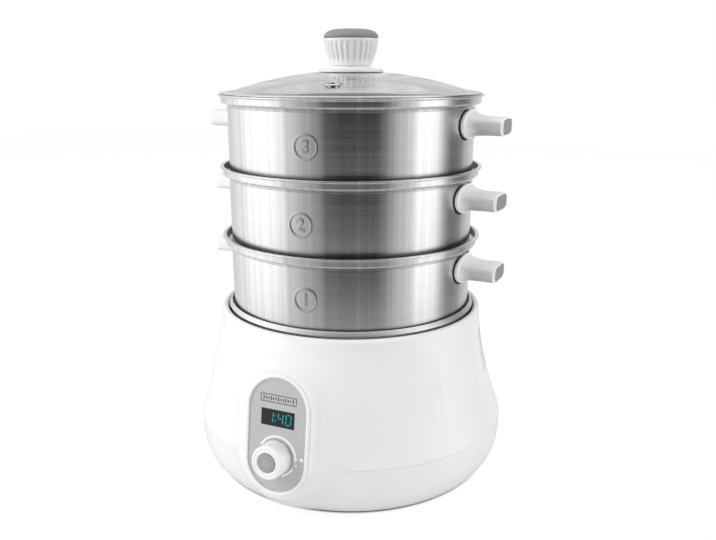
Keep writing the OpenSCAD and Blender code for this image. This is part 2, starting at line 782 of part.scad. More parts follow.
module lid_glass() {
    color("lightblue", 0.4) difference() {
        intersection() {
            translate([0, 0, apex - dome_r]) difference() {
                rotate_extrude() intersection() {
                    circle(dome_r, $fn = 360);
                    square(dome_r);
                }
                rotate_extrude() intersection() {
                    circle(dome_r - glass_t, $fn = 360);
                    square(dome_r);
                }
            }
            translate([0, 0, apex - 40]) cylinder(r = glass_edge, h = 60);
        }
        translate([0, 0, apex - 20]) cylinder(r = 3.2, h = 40);
        on_dome(vent_place, 13.5) translate([0, 0, -10]) cylinder(r = 4.2, h = 20);
    }
}

module lid_rim() {
    top = apex - sag(dome_r, glass_edge);
    under = apex - glass_t - sag(dome_r - glass_t, glass_edge);
    arm = glass_edge - 3;
    arm_top = apex - sag(dome_r, arm) + 0.1;
    arm_under = apex - glass_t - sag(dome_r - glass_t, arm) - 0.1;
    seat = top_lip + gap;
    color("silver") rotate_extrude() polygon([
        [arm, arm_top], [arm, arm_top + 0.8], [glass_edge + 0.6, top + 1.5],
        [flange_r - 0.9, seat + 1.3], [flange_r, seat + 0.7], [flange_r - 0.3, seat],
        [collar_in - 1.2, seat], [collar_in - 1.4, under - 0.9], [arm, arm_under - 0.8],
        [arm, arm_under], [glass_edge + 0.1, under - 0.1], [glass_edge + 0.1, top + 0.1]]);
}

module vent_eyelet() {
    color("silver") on_dome(vent_place, 13.5) rotate_extrude() polygon([
        [vent_r, -glass_t - 0.8], [6, -glass_t - 0.8], [6, -glass_t - 0.12],
        [4.1, -glass_t - 0.12], [4.1, 0.12], [6.2, 0.12], [6, 0.9], [4.6, 1.3],
        [vent_r + 0.4, 1.1], [vent_r, 0.4]]);
}

module knob_seal() {
    inner = knob_foot_r - 1;
    outer = knob_flange_r + 0.1;
    color("dimgray") translate([0, 0, apex + 0.06]) rotate_extrude() polygon([
        [inner, -sag(dome_r, inner)], [outer, -sag(dome_r, outer)],
        [outer, 0.7 - sag(dome_r, outer)], [inner, 0.7 - sag(dome_r, inner)]]);
}

module knob_flange() {
    inner = knob_foot_r - 1;
    outer = knob_flange_r;
    top = body_z - apex - 1;
    color("white") translate([0, 0, apex + 0.8]) difference() {
        rotate_extrude() polygon([[0, -0.6], [inner - 0.1, -0.6],
            [inner - 0.1, -sag(dome_r, inner)], [outer, -sag(dome_r, outer)], [outer, 0.1],
            [outer - 2, 0.8], [knob_foot_r + 1.2, 1.3], [knob_foot_r + 0.4, top], [0, top]]);
        translate([0, 0, -5]) cylinder(r = 2.6, h = 20);
    }
}

module lid_knob() {
    lean = atan((knob_top_r - knob_foot_r) / knob_h);
    color("white") difference() {
        rotate_extrude() polygon(concat([[0, body_z], [knob_foot_r - 0.6, body_z]],
            [for (s = steps(0.03, 0.97, 8))
                [knob_foot_r + (knob_top_r - knob_foot_r) * (1 - pow(1 - s, 1.6)),
                 body_z + s * knob_h]],
            [[knob_top_r - 0.6, body_z + knob_h], [0, body_z + knob_h]]));
        translate([0, 0, body_z - 1]) cylinder(r = 2.55, h = 17);
        for (i = [0:flutes - 1]) rotate(i * 360 / flutes)
            translate([knob_foot_r + 2.6, 0, body_z + 3.2]) rotate([0, lean, 0])
                cylinder(r = 1.7, h = knob_h - 7, $fn = 24);
    }
}

module knob_cap() {
    color("gray") translate([0, 0, cap_z]) rotate_extrude() polygon(concat([[0, -0.2],
        [knob_top_r - 2, -0.2], [knob_top_r - 2, 0], [knob_top_r, 0]],
        [for (a = steps(10, 90, 8)) [knob_top_r - 9 + 9 * cos(a), (cap_h - 0.4) * sin(a) + 0.4]],
        [[0, cap_h]]));
}

module knob_washer() {
    color("silver") translate([0, 0, apex - glass_t - 1.4]) difference() {
        cylinder(r = 7.5, h = 1.25);
        translate([0, 0, -1]) cylinder(r = 2.6, h = 4);
    }
}

module knob_screw() {
    head = apex - glass_t - 1.4;
    color("silver") translate([0, 0, head]) {
        translate([0, 0, -2.8]) cylinder(r = 4.5, h = 2.8);
        cylinder(r = 2.5, h = body_z - head + 15);
    }
}

upper_housing();
lower_housing();
rubber_feet();
housing_screws();
water_bowl();
bowl_gasket();
heating_plate();
heating_element();
thermostat();
thermal_fuse();
level_window();
level_seals();
panel_bezel();
control_faceplate();
display_window();
display_module();
control_board();
encoder_body();
tact_switch();
board_screws();
power_board();
heater_leads();
board_cable();
cable_gland();
timer_knob();
power_button();
basket(0);  // lower_basket
handles(0);  // lower_handles
handle_caps(0);  // lower_handle_caps
handle_gaskets(0);  // lower_handle_gaskets
handle_screws(0);  // lower_handle_screws
basket(1);  // middle_basket
handles(1);  // middle_handles
handle_caps(1);  // middle_handle_caps
handle_gaskets(1);  // middle_handle_gaskets
handle_screws(1);  // middle_handle_screws
basket(2);  // upper_basket
handles(2);  // upper_handles
handle_caps(2);  // upper_handle_caps
handle_gaskets(2);  // upper_handle_gaskets
handle_screws(2);  // upper_handle_screws
lid_glass();
lid_rim();
vent_eyelet();
knob_seal();
knob_flange();
lid_knob();
knob_cap();
knob_washer();
knob_screw();
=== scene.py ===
import json
import math

import bmesh
import bpy
import numpy as np
from mathutils import Matrix, Vector


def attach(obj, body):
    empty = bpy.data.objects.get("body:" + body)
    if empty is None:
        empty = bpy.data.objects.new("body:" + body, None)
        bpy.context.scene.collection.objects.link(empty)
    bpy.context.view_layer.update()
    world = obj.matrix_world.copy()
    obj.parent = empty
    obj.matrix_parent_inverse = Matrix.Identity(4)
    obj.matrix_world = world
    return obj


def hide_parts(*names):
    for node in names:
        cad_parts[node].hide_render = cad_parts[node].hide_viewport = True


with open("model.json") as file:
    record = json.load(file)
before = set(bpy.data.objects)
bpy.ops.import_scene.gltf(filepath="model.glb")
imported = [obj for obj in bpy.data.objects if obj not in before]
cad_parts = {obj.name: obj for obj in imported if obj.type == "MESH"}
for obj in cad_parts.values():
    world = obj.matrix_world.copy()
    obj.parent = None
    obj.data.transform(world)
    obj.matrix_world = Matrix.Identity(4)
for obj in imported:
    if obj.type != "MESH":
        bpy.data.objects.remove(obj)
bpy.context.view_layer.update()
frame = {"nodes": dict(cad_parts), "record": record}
scene = bpy.context.scene
mm = 0.001

# the photograph's camera, fitted to the rims and the stack of tiers

photo = {
    "azimuth": 24.0,  # degrees from the panel's side towards the window's side
    "distance": 696.1,  # from the pot's axis
    "height": 360.1,
    "pitch": 14.93,  # degrees down
    "focal": 38.97,
    "shift": 7 / 716,  # the axis stands 7 pixels left of the middle
}


def placeCamera():
    turn, pitch = math.radians(photo["azimuth"]), math.radians(photo["pitch"])
    data = bpy.data.cameras.new("camera")
    data.lens, data.sensor_width, data.shift_x = photo["focal"], 36.0, photo["shift"]
    data.clip_start, data.clip_end = 0.01, 50.0
    camera = bpy.data.objects.new("camera", data)
    away = photo["distance"] * mm
    camera.location = (away * math.sin(turn), -away * math.cos(turn), photo["height"] * mm)
    camera.rotation_euler = (math.pi / 2 - pitch, 0.0, turn)
    scene.collection.objects.link(camera)
    scene.camera = camera
    scene.view_settings.view_transform = "Standard"


placeCamera()
print("camera placed")

# materials


class Value:  # an output socket; sums on it add Math nodes
    def __init__(self, finish, socket):
        self.finish, self.socket = finish, socket

    def maths(self, operation, *terms):
        return self.finish.node("ShaderNodeMath", {"operation": operation}, dict(enumerate(terms)))

    def __add__(self, other):
        return self.maths("ADD", self, other)

    def __sub__(self, other):
        return self.maths("SUBTRACT", self, other)

    def __rsub__(self, other):
        return self.maths("SUBTRACT", other, self)

    def __mul__(self, other):
        return self.maths("MULTIPLY", self, other)

    def __truediv__(self, other):
        return self.maths("DIVIDE", self, other)

    __radd__ = __add__
    __rmul__ = __mul__


def clamped(value, top=1):
    return value.maths("MINIMUM", top, value.maths("MAXIMUM", 0, value))


class Finish:  # a node tree under construction, for a material or the world
    def __init__(self, owner):
        owner.use_nodes = True
        self.owner, self.tree = owner, owner.node_tree
        self.tree.nodes.clear()

    def node(self, kind, settings=None, inputs=None, output=0):
        made = self.tree.nodes.new(kind)
        for key, value in (settings or {}).items():
            if key == "stops":
                self.setStops(made.color_ramp, value)
            else:
                setattr(made, key, value)
        for key, value in (inputs or {}).items():
            if isinstance(value, Value):
                self.tree.links.new(value.socket, made.inputs[key])
            else:
                made.inputs[key].default_value = value
        return Value(self, made.outputs[output]) if made.outputs else made

    def setStops(self, ramp, stops):
        ramp.elements.remove(ramp.elements[1])
        for i, (place, level) in enumerate(stops):
            stop = ramp.elements[0] if i == 0 else ramp.elements.new(place)
            stop.position, stop.color = place, (level, level, level, 1)

    def split(self, vector):
        parts = self.tree.nodes.new("ShaderNodeSeparateXYZ")
        self.tree.links.new(vector.socket, parts.inputs[0])
        return [Value(self, part) for part in parts.outputs]

    def fromAxis(self, place):
        flat = self.node("ShaderNodeVectorMath", {"operation": "MULTIPLY"}, {0: place, 1: (1, 1, 0)})
        return self.node("ShaderNodeVectorMath", {"operation": "LENGTH"}, {0: flat}, output=1)

    def noise(self, scale, detail=2.0, stretch=(1, 1, 1)):
        where = self.node("ShaderNodeTexCoord", output="Object")
        if stretch != (1, 1, 1):
            where = self.node("ShaderNodeVectorMath", {"operation": "MULTIPLY"}, {0: where, 1: stretch})
        return self.node("ShaderNodeTexNoise", {}, {"Vector": where, "Scale": scale, "Detail": detail})

    def blend(self, mask, first, second):
        return self.node(
            "ShaderNodeMix", {"data_type": "RGBA"}, {0: mask, 6: first, 7: second}, output=2
        )

    def bump(self, height, strength, depth):
        return self.node(
            "ShaderNodeBump", {}, {"Strength": strength, "Distance": depth * mm, "Height": height}
        )

    def surface(self, shader):
        self.node("ShaderNodeOutputMaterial", {}, {"Surface": shader})
        return self.owner


def newFinish(name):
    return Finish(bpy.data.materials.new(name))


def principled(finish, **sockets):
    inputs = {key.replace("_", " "): value for key, value in sockets.items()}
    return finish.surface(finish.node("ShaderNodeBsdfPrincipled", {}, inputs))


def plastic(name, colour, roughness, grain=0.0, depth=0.02, shift=0.03):
    finish = newFinish(name)
    drift = finish.noise(30.0, 2.0)  # slow unevenness of a moulding
    fine = finish.noise(1600.0, 2.0)  # skin of the tool
    darker = tuple(c * (1 - shift) for c in colour) + (1.0,)
    shade = finish.blend(drift, darker, tuple(colour) + (1.0,))
    return principled(
        finish,
        Base_Color=shade,
        Roughness=roughness + (drift - 0.5) * 0.08 + (fine - 0.5) * 0.1,
        Normal=finish.bump(fine, grain, depth),
    )


stack = {  # where the walls and collars lie, in metres
    "first": 0.1433,
    "pitch": 0.061,
    "wall": 0.1087,  # just outside a basket's wall
    "collar": 0.1127,  # just inside a collar
    "foot": 0.0075,  # height that a collar hides
    "seat": (0.002, 0.0095),
}


def stackShade(finish, look):
    # painted shade: darker where a wall goes down into the collar below it, and inside that collar,
    # where the next basket stands close
    way = finish.node("ShaderNodeTexCoord", output="Object")
    x, y, z = finish.split(way)
    out = finish.fromAxis(way)
    local = z.maths("FLOORED_MODULO", z - stack["first"], stack["pitch"])
    wall = out.maths("LESS_THAN", out, stack["wall"])
    rise = clamped((local - stack["foot"]) * 200)
    low, high = stack["seat"]
    inside = (1 - wall) * out.maths("LESS_THAN", out, stack["collar"])
    inside = inside * local.maths("GREATER_THAN", local, low) * local.maths("LESS_THAN", local, high)
    upright = x.maths("ARCTAN2", y, x)
    return (1 - wall * (1 - rise) * look["footShade"]) * (1 - inside * look["collarShade"]), upright


def brushedSteel(name, look):
    finish = newFinish(name)
    shadow, turn = stackShade(finish, look)
    streaks = finish.node(
        "ShaderNodeTexNoise",
        {"noise_dimensions": "1D"},
        {"W": turn, "Scale": 17.0, "Detail": 6.0, "Roughness": 0.65},
    )
    # brushed round the pan: long along the wall, fine in height
    lines = finish.noise(1.0, 3.0, stretch=look["stretch"])
    broad = finish.noise(1.0, 2.0, stretch=tuple(s * 0.12 for s in look["stretch"]))
    cloud = finish.noise(14.0, 2.0)
    dull = tuple(c * 0.8 for c in look["colour"]) + (1.0,)
    shade = finish.blend(lines * 0.7 + broad * 0.3, dull, tuple(look["colour"]) + (1.0,))
    level = shadow * (1 + (streaks - 0.5) * look["streaks"])
    grey = finish.node("ShaderNodeCombineXYZ", {}, {0: level, 1: level, 2: level})
    shade = finish.node("ShaderNodeVectorMath", {"operation": "MULTIPLY"}, {0: shade, 1: grey})
    return principled(
        finish,
        Base_Color=shade,
        Metallic=1.0,
        Roughness=look["roughness"] + (lines - 0.5) * look["spread"] + (cloud - 0.5) * 0.05,
        Anisotropic=look["anisotropy"],
        Anisotropic_Rotation=0.25,
        Normal=finish.bump(lines, look["bump"], 0.03),
    )


def metal(name, colour, roughness, speckle=0.04):
    finish = newFinish(name)
    cloud = finish.noise(45.0, 3.0)
    fine = finish.noise(1400.0, 2.0)
    shade = finish.blend(cloud, tuple(c * 0.9 for c in colour) + (1.0,), tuple(colour) + (1.0,))
    return principled(
        finish,
        Base_Color=shade,
        Metallic=1.0,
        Roughness=roughness + (fine - 0.5) * speckle + (cloud - 0.5) * 0.04,
        Normal=finish.bump(fine, 0.03, 0.01),
    )


def silverPaint():
    finish = newFinish("silverPaint")
    flakes = finish.node(
        "ShaderNodeTexVoronoi",
        {},
        {"Vector": finish.node("ShaderNodeTexCoord", output="Object"), "Scale": 2600.0},
        output="Color",
    )
    flake = finish.node("ShaderNodeSeparateColor", {}, {"Color": flakes})
    shade = finish.blend(flake, (0.50, 0.50, 0.50, 1), (0.66, 0.66, 0.66, 1))
    return principled(
        finish,
        Base_Color=shade,
        Metallic=0.35,
        Roughness=0.38 + (flake - 0.5) * 0.12,
        Normal=finish.bump(flake, 0.05, 0.02),
    )


def clearGlass(name, tint, roughness):
    finish = newFinish(name)
    ripple = finish.noise(9.0, 1.0)
    return principled(
        finish,
        Base_Color=finish.blend(ripple, tuple(t * 0.99 for t in tint) + (1.0,), tuple(tint) + (1.0,)),
        Roughness=roughness + ripple * 0.01,
        IOR=1.46,
        Transmission_Weight=1.0,
    )


gripShade = {
    "root": 0.1225,  # where the painted light near the pad ends, in metres from the axis
    "fade": 90,
    "tip": 0.1389,
    # levels of the painted shade and the painted light
    "dull": 0.46,
    "bright": 0.93,
    # painted light on the grips on the left, where x is below zero
    "left": 0.85,
    "roughness": 0.27,
}


def shadedGrip():
    # painted shade and light: the plastic is painted darker along the right grips' necks and on faces
    # that look sideways or down, and lighter on faces that look up, at the pad, at the end's rim and on
    # the left grips
    finish = newFinish("gripPlasticPaintedShade")
    way = finish.node("ShaderNodeTexCoord", output="Object")
    out = finish.fromAxis(way)
    near = clamped((gripShade["root"] - out) * gripShade["fade"])
    far = out.maths("GREATER_THAN", out, gripShade["tip"])
    up = finish.split(finish.node("ShaderNodeNewGeometry", output="Normal"))[2]
    side = finish.split(way)[0]
    left = side.maths("LESS_THAN", side, 0)
    bright = near + far + left * gripShade["left"]
    lit = up.maths("MINIMUM", 1, up.maths("MAXIMUM", bright, up * 0.9 + 0.25))
    shade = finish.blend(lit, (gripShade["dull"],) * 3 + (1,), (gripShade["bright"],) * 3 + (1,))
    fine = finish.noise(1600.0, 2.0)
    return principled(
        finish,
        Base_Color=shade,
        Roughness=gripShade["roughness"] + (fine - 0.5) * 0.1,
        Normal=finish.bump(fine, 0.03, 0.02),
    )


def glow(name, colour, strength):
    finish = newFinish(name)
    ripple = finish.noise(700.0, 1.0)
    shade = finish.blend(ripple, tuple(c * 0.8 for c in colour) + (1.0,), tuple(colour) + (1.0,))
    return principled(
        finish, Base_Color=shade, Roughness=0.4, Emission_Color=shade, Emission_Strength=strength
    )


steel = {
    "colour": (0.84, 0.83, 0.82),
    "roughness": 0.24,
    "spread": 0.12,
    "anisotropy": 0.93,
    "bump": 0.03,
    "streaks": 0.5,
    # painted shade inside each collar, and along the foot of each wall
    "collarShade": 0.8,
    "footShade": 0.3,
    "stretch": (9.0, 9.0, 1100.0),
}
bowlSteel = dict(steel, roughness=0.38, anisotropy=0.0, streaks=0.2, collarShade=0.0, footShade=0.0)
finishes = {
    "white_plastic": plastic("whitePlastic", (0.88, 0.88, 0.88), 0.24, 0.03),
    "white_knob": plastic("knobPlastic", (0.90, 0.90, 0.89), 0.36, 0.08),
    "dark_rubber": plastic("rubber", (0.022, 0.022, 0.023), 0.62, 0.25, 0.06, 0.2),
    "screw_steel": metal("screwSteel", (0.66, 0.65, 0.64), 0.26),
    "bowl_steel": brushedSteel("bowlSteel", bowlSteel),
    "brushed_steel": brushedSteel("brushedSteel", steel),
    "polished_steel": metal("polishedSteel", (0.78, 0.77, 0.76), 0.13),
    "plate_aluminium": metal("plateAluminium", (0.72, 0.72, 0.73), 0.38),
    "heater_tube": metal("heaterTube", (0.22, 0.2, 0.19), 0.5, 0.2),
    "ceramic": plastic("ceramic", (0.72, 0.68, 0.58), 0.6, 0.2, 0.05, 0.1),
    "clear_window": plastic("windowPlastic", (0.80, 0.81, 0.81), 0.12),
    "grey_faceplate": silverPaint(),
    "display_black": plastic("displayLens", (0.012, 0.013, 0.016), 0.08, 0.0, 0.01, 0.2),
    "circuit_green": plastic("circuitBoard", (0.02, 0.16, 0.07), 0.4, 0.15, 0.05, 0.3),
    "red_wire": plastic("redSleeve", (0.45, 0.03, 0.02), 0.45),
    "grey_cable": plastic("ribbonCable", (0.42, 0.42, 0.43), 0.5),
    "grey_plastic": plastic("greyPlastic", (0.14, 0.14, 0.145), 0.5, 0.2, 0.05, 0.1),
    "grey_button": plastic("greyButton", (0.34, 0.35, 0.38), 0.32, 0.05),
    "grey_cap": plastic("greyCap", (0.27, 0.27, 0.27), 0.46, 0.12, 0.04, 0.08),
    "lid_glass": clearGlass("lidGlass", (0.985, 0.99, 0.985), 0.0),
}
fixingSteel = metal("fixingSteel", (0.10, 0.105, 0.09), 0.4)
badgeSteel = metal("badgeSteel", (0.63, 0.62, 0.61), 0.25)
digitGlow = glow("digitGlow", (0.0, 0.20, 0.21), 0.9)
gripPlasticPaintedShade = shadedGrip()
printWhite = plastic("printWhite", (0.97, 0.97, 0.97), 0.4)
printFaint = plastic("printFaint", (0.6, 0.6, 0.62), 0.4)
printDark = plastic("printDark", (0.02, 0.02, 0.02), 0.4)
print("materials made")

# the carried-over nodes take the finish of their slot

slotOf = {entry["node"]: entry["material_slot"] for entry in frame["record"]["subparts"]}
for name, node in frame["nodes"].items():
    fixing = name in ("knob_screw", "knob_washer")
    node.data.materials.clear()
    node.data.materials.append(fixingSteel if fixing else finishes[slotOf[name]])


# mesh tools: outlines and points are in millimetres, in the row frame


def addPiece(name, points, faces, body, finish, replaced=(), sharp=32.0, slot=None):
    mesh = bpy.data.meshes.new(name)
    mesh.from_pydata([tuple(c * mm for c in p) for p in points], [], [tuple(f) for f in faces])
    work = bmesh.new()
    work.from_mesh(mesh)
    bmesh.ops.remove_doubles(work, verts=work.verts, dist=2e-6)
    bmesh.ops.recalc_face_normals(work, faces=work.faces)
    work.to_mesh(mesh)
    work.free()
    mesh.shade_smooth()
    mesh.set_sharp_from_angle(angle=math.radians(sharp))
    piece = bpy.data.objects.new(name, mesh)
    scene.collection.objects.link(piece)
    mesh.materials.append(finishes[finish] if isinstance(finish, str) else finish)
    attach(piece, body)
    if replaced:
        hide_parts(*replaced)
    return piece


def roundCorners(outline, steps=5):
    # outline of (r, z) or (r, z, fillet); a fillet becomes an arc of short lines
    points = []
    for i, corner in enumerate(outline):
        here = Vector(corner[:2])
        if len(corner) == 2:
            points.append(tuple(here))
            continue
        before = Vector(outline[i - 1][:2]) - here
        after = Vector(outline[(i + 1) % len(outline)][:2]) - here
        half = before.angle(after) / 2
        reach = min(corner[2] / math.tan(half), 0.49 * before.length, 0.49 * after.length)
        start, end = here + before.normalized() * reach, here + after.normalized() * reach
        for step in range(steps + 1):
            t = step / steps
            points.append(tuple((1 - t) ** 2 * start + 2 * t * (1 - t) * here + t * t * end))
    return points


def strips(count, n, total):
    # faces between each of count rings of n points and the next of total rings
    return [
        (i * n + j, (i + 1) % total * n + j, (i + 1) % total * n + (j + 1) % n, i * n + (j + 1) % n)
        for i in range(count)
        for j in range(n)
    ]


def lathe(outline, segments=240):
    ring = [2 * math.pi * i / segments for i in range(segments)]
    points = [(r * math.cos(a), r * math.sin(a), z) for a in ring for r, z in outline]
    return points, strips(segments, len(outline), segments)


def moved(points, matrix):
    return [tuple(matrix @ Vector(p)) for p in points]


def loft(rings, closed=False):
    # skin over rings of the same number of points, with both ends capped unless closed
    n, rows = len(rings[0]), len(rings)
    points = [p for ring in rings for p in ring]
    faces = [
        (i * n + j, i * n + (j + 1) % n, (i + 1) % rows * n + (j + 1) % n, (i + 1) % rows * n + j)
        for i in range(rows if closed else rows - 1)
        for j in range(n)
    ]
    if not closed:
        faces += [tuple(range(n)), tuple(range(len(points) - n, len(points)))]
    return points, faces


def circlePoints(x, y, radius, count):
    return [
        (x + radius * math.cos(2 * math.pi * i / count), y + radius * math.sin(2 * math.pi * i / count))
        for i in range(count)
    ]


def curveShape(curve, rise=0.0):
    holder = bpy.data.objects.new(curve.name, curve)
    mesh = bpy.data.meshes.new_from_object(holder)
    points = [(v.co.x, v.co.y, v.co.z + rise) for v in mesh.vertices]
    faces = [tuple(p.vertices) for p in mesh.polygons]
    bpy.data.objects.remove(holder)
    bpy.data.curves.remove(curve)
    bpy.data.meshes.remove(mesh)
    return points, faces


def plate(outlines, low, high, bevel=0.0):
    # flat plate between two heights: the first outline is its edge and the others are holes
    curve = bpy.data.curves.new("plateCurve", "CURVE")
    curve.dimensions, curve.fill_mode = "2D", "BOTH"
    curve.extrude = (high - low) / 2 - bevel
    curve.bevel_depth, curve.bevel_resolution = bevel, 1
    for outline in outlines:
        spline = curve.splines.new("POLY")
        spline.points.add(len(outline) - 1)
        for point, (x, y) in zip(spline.points, outline):
            point.co = (x, y, 0, 1)
        spline.use_cyclic_u = True
    return curveShape(curve, (low + high) / 2)


def joined(*parts):
    points, faces = [], []
    for somePoints, someFaces in parts:
        faces += [tuple(i + len(points) for i in f) for f in someFaces]
        points += somePoints
    return points, faces


# the base: a bell over a skirt, with the soft boss that carries the panel

base = {
    "rimRadius": 118.7,
    "rimWidth": 5.9,
    "rimZ": 148.0,
    "rimFoot": 138.5,  # lower end of the rim's inner side
    "seamRadius": 141.4,
    "seamZ": 46.0,
    "skirtRadius": 128.4,
    "skirtZ": 2.0,
    "inset": 3.2,  # from the skirt's foot to the floor's edge
    "groove": 0.55,
    "grooveHalf": 0.4,
    "floorZ": 2.5,
    "floorTop": 5.5,
    "screwRing": 117.0,
    "screwWell": 4.0,
    "slot": (1.5, 50.0, 84.0),  # half width, start and end of a vent slot
    "pad": 30.0,
}
panel = {
    "distance": 145.2,
    "z": 73.5,
    "tilt": 8.0,
    "halfWidth": 26.35,
    "halfHeight": 47.6,
    "frontWidth": 3.0,  # flat land outside the faceplate
    "softness": 9.0,  # how fast the boss falls away beyond that
    "steeper": 0.75,  # how much faster under the panel
    "steepFrom": 20.0,
    "steepOver": 30.0,
    "fillet": 11.0,  # valley between boss and bell
    "recess": 2.0,
    "knobDrop": 18.3,
    "windowRise": 13.7,
}
level = {"width": 15.0, "height": 39.0, "z": 110.5, "depth": 3.0, "turn": 8.0}
tilt = math.radians(panel["tilt"])
panelFrame = Matrix(
    (
        (1, 0, 0, 0),
        (0, math.sin(tilt), -math.cos(tilt), -panel["distance"]),
        (0, math.cos(tilt), math.sin(tilt), panel["z"]),
        (0, 0, 0, 1),
    )
)
dialFrame = panelFrame @ Matrix.Translation((0, -panel["knobDrop"], 0))


def bodyRadius(z):
    up = np.clip((z - base["seamZ"]) / (base["rimZ"] - base["seamZ"]), 0, 1)
    down = np.clip((base["seamZ"] - z) / (base["seamZ"] - base["skirtZ"]), 0, 1)
    bell = base["rimRadius"] + (base["seamRadius"] - base["rimRadius"]) * (1 - up) ** 1.75
    skirt = base["seamRadius"] - (base["seamRadius"] - base["skirtRadius"]) * down**3.3
    seam = np.abs(z - base["seamZ"]) < base["grooveHalf"]
    return np.where(z > base["seamZ"], bell, skirt) - base["groove"] * seam


def bossHeight(s, t):
    # how far the boss's skin lies out of the panel's plane
    side = np.maximum(np.abs(t) - (panel["halfHeight"] - panel["halfWidth"]), 0)
    out = np.hypot(s, side) - panel["halfWidth"]
    steep = 1 + panel["steeper"] * np.clip((-t - panel["steepFrom"]) / panel["steepOver"], 0, 1)
    away = np.maximum(out - panel["frontWidth"], 0) * steep
    soft = panel["softness"]
    fall = np.where(away < soft, away**2 / (2 * soft), away - soft / 2)
    return -fall - panel["recess"] * (out < 1.0)


def skinRadius(angle, z):
    # distance of the base's skin from the axis: the bell and the boss, smoothly joined
    low, high = np.full_like(z, 80.0), np.full_like(z, 175.0)  # halved until they meet
    wall = bodyRadius(z)
    near = np.cos(angle + math.pi / 2) > 0.5
    for _ in range(34):
        r = (low + high) / 2
        y, up = r * np.sin(angle) + panel["distance"], z - panel["z"]
        s = r * np.cos(angle)
        t = y * math.sin(tilt) + up * math.cos(tilt)
        n = -y * math.cos(tilt) + up * math.sin(tilt)
        bell, boss = r - wall, n - bossHeight(s, t)
        h = np.clip(0.5 + 0.5 * (boss - bell) / panel["fillet"], 0, 1)
        both = boss + (bell - boss) * h - panel["fillet"] * h * (1 - h)
        inside = np.where(near, both, bell) < 0
        low, high = np.where(inside, r, low), np.where(inside, high, r)
    return (low + high) / 2


def spaced(stops):
    # values that run through (start, step) pairs to the last start
    values = []
    for (start, step), (end, _) in zip(stops, stops[1:]):
        count = max(1, round((end - start) / step))
        values += [start + (end - start) * i / count for i in range(count)]
    return values + [stops[-1][0]]


def makeBase():
    slotHalf = math.degrees(level["width"] / 2 / bodyRadius(np.array(level["z"])))
    slotLow, slotHigh = level["z"] - level["height"] / 2, level["z"] + level["height"] / 2
    seam, half = base["seamZ"], base["grooveHalf"]
    left, right = level["turn"] - slotHalf, level["turn"] + slotHalf
    turns = spaced(  # finest over the boss
        [(-128, 0.42), (-52, 2.0), (left - 0.2, 0.2), (left, 1.0),
         (right, 0.2), (right + 0.2, 2.0), (232, 2.0)]
    )[:-1]
    rimArc = base["rimWidth"] / 2
    heights = spaced(
        [(base["skirtZ"] + 0.6, 0.9), (seam - half - 0.1, 0.1), (seam - half, 0.2), (seam, 0.2),
         (seam + half, 0.1), (seam + half + 0.1, 0.9), (slotLow - 0.2, 0.2), (slotLow, 1.0),
         (slotHigh, 0.2), (slotHigh + 0.2, 1.2), (base["rimZ"] - rimArc, 1.2)]
    )
    angle, z = np.meshgrid(np.radians(turns), heights, indexing="ij")
    radius = skinRadius(angle, z)
    slot = np.abs(np.degrees(angle) - level["turn"]) < slotHalf + 0.1
    slot = slot & (z > slotLow - 0.1) & (z < slotHigh + 0.1)
    radius = np.where(slot, radius - level["depth"], radius)
    raised = radius - bodyRadius(z) > 0.2
    middle = base["rimRadius"] - rimArc
    rim = [
        (middle + rimArc * math.cos(a), base["rimZ"] - rimArc + rimArc * math.sin(a))
        for a in np.linspace(0, math.pi, 13)[1:]
    ]
    rim.append((middle - rimArc, base["rimFoot"]))
    foot = [(base["skirtRadius"] - 0.5, base["skirtZ"]), (base["skirtRadius"] - 2.2, base["skirtZ"]),
            (base["skirtRadius"] - base["inset"], base["floorZ"])]
    columns = []
    for i, a in enumerate(np.radians(turns)):
        column = [(r, h) for r, h in reversed(foot)]
        column += [(radius[i, j], heights[j]) for j in range(len(heights))] + rim
        columns.append([(r * math.cos(a), r * math.sin(a), h) for r, h in column])
    points, n = [p for column in columns for p in column], len(columns[0])
    upper, lower = [], []
    for i in range(len(columns)):
        k = (i + 1) % len(columns)
        for j in range(n - 1):
            face = (i * n + j, k * n + j, k * n + j + 1, i * n + j + 1)
            row = j - len(foot)
            boss = 0 <= row < len(heights) - 1 and raised[i, row] and heights[row] > 9
            high = row >= 0 and (row >= len(heights) or heights[row] >= seam)
            (upper if high or boss else lower).append(face)
    addPiece("upperShell", points, upper, "base", "white_plastic", ["upper_housing"], 40)
    corners = [math.radians(a) for a in (45, 135, 225, 315)]
    ring, well = base["screwRing"], base["screwWell"]
    holes = [circlePoints(ring * math.cos(a), ring * math.sin(a), well, 24) for a in corners]
    half, start, end = base["slot"]
    for x in range(-24, 25, 8):
        holes.append([(x - half, start), (x + half, start), (x + half, end), (x - half, end)])
    edge = circlePoints(0, 0, base["skirtRadius"] - base["inset"], 240)
    floor = plate([edge] + holes, base["floorZ"], base["floorTop"])
    pad = plate([circlePoints(0, 0, base["pad"], 96)], base["floorZ"] - 0.4, base["floorZ"] + 0.6)
    skirt = joined((points, lower), floor, pad)
    addPiece("lowerShell", *skirt, "base", "white_plastic", ["lower_housing"], 40)


makeBase()
print("base made")

# the water bowl, whose flared rim shows between the basket and the base

bowl = {"radius": 103.2, "wall": 0.8, "floor": 62.0, "seat": 143.0, "collar": 109.4, "top": 152.5}


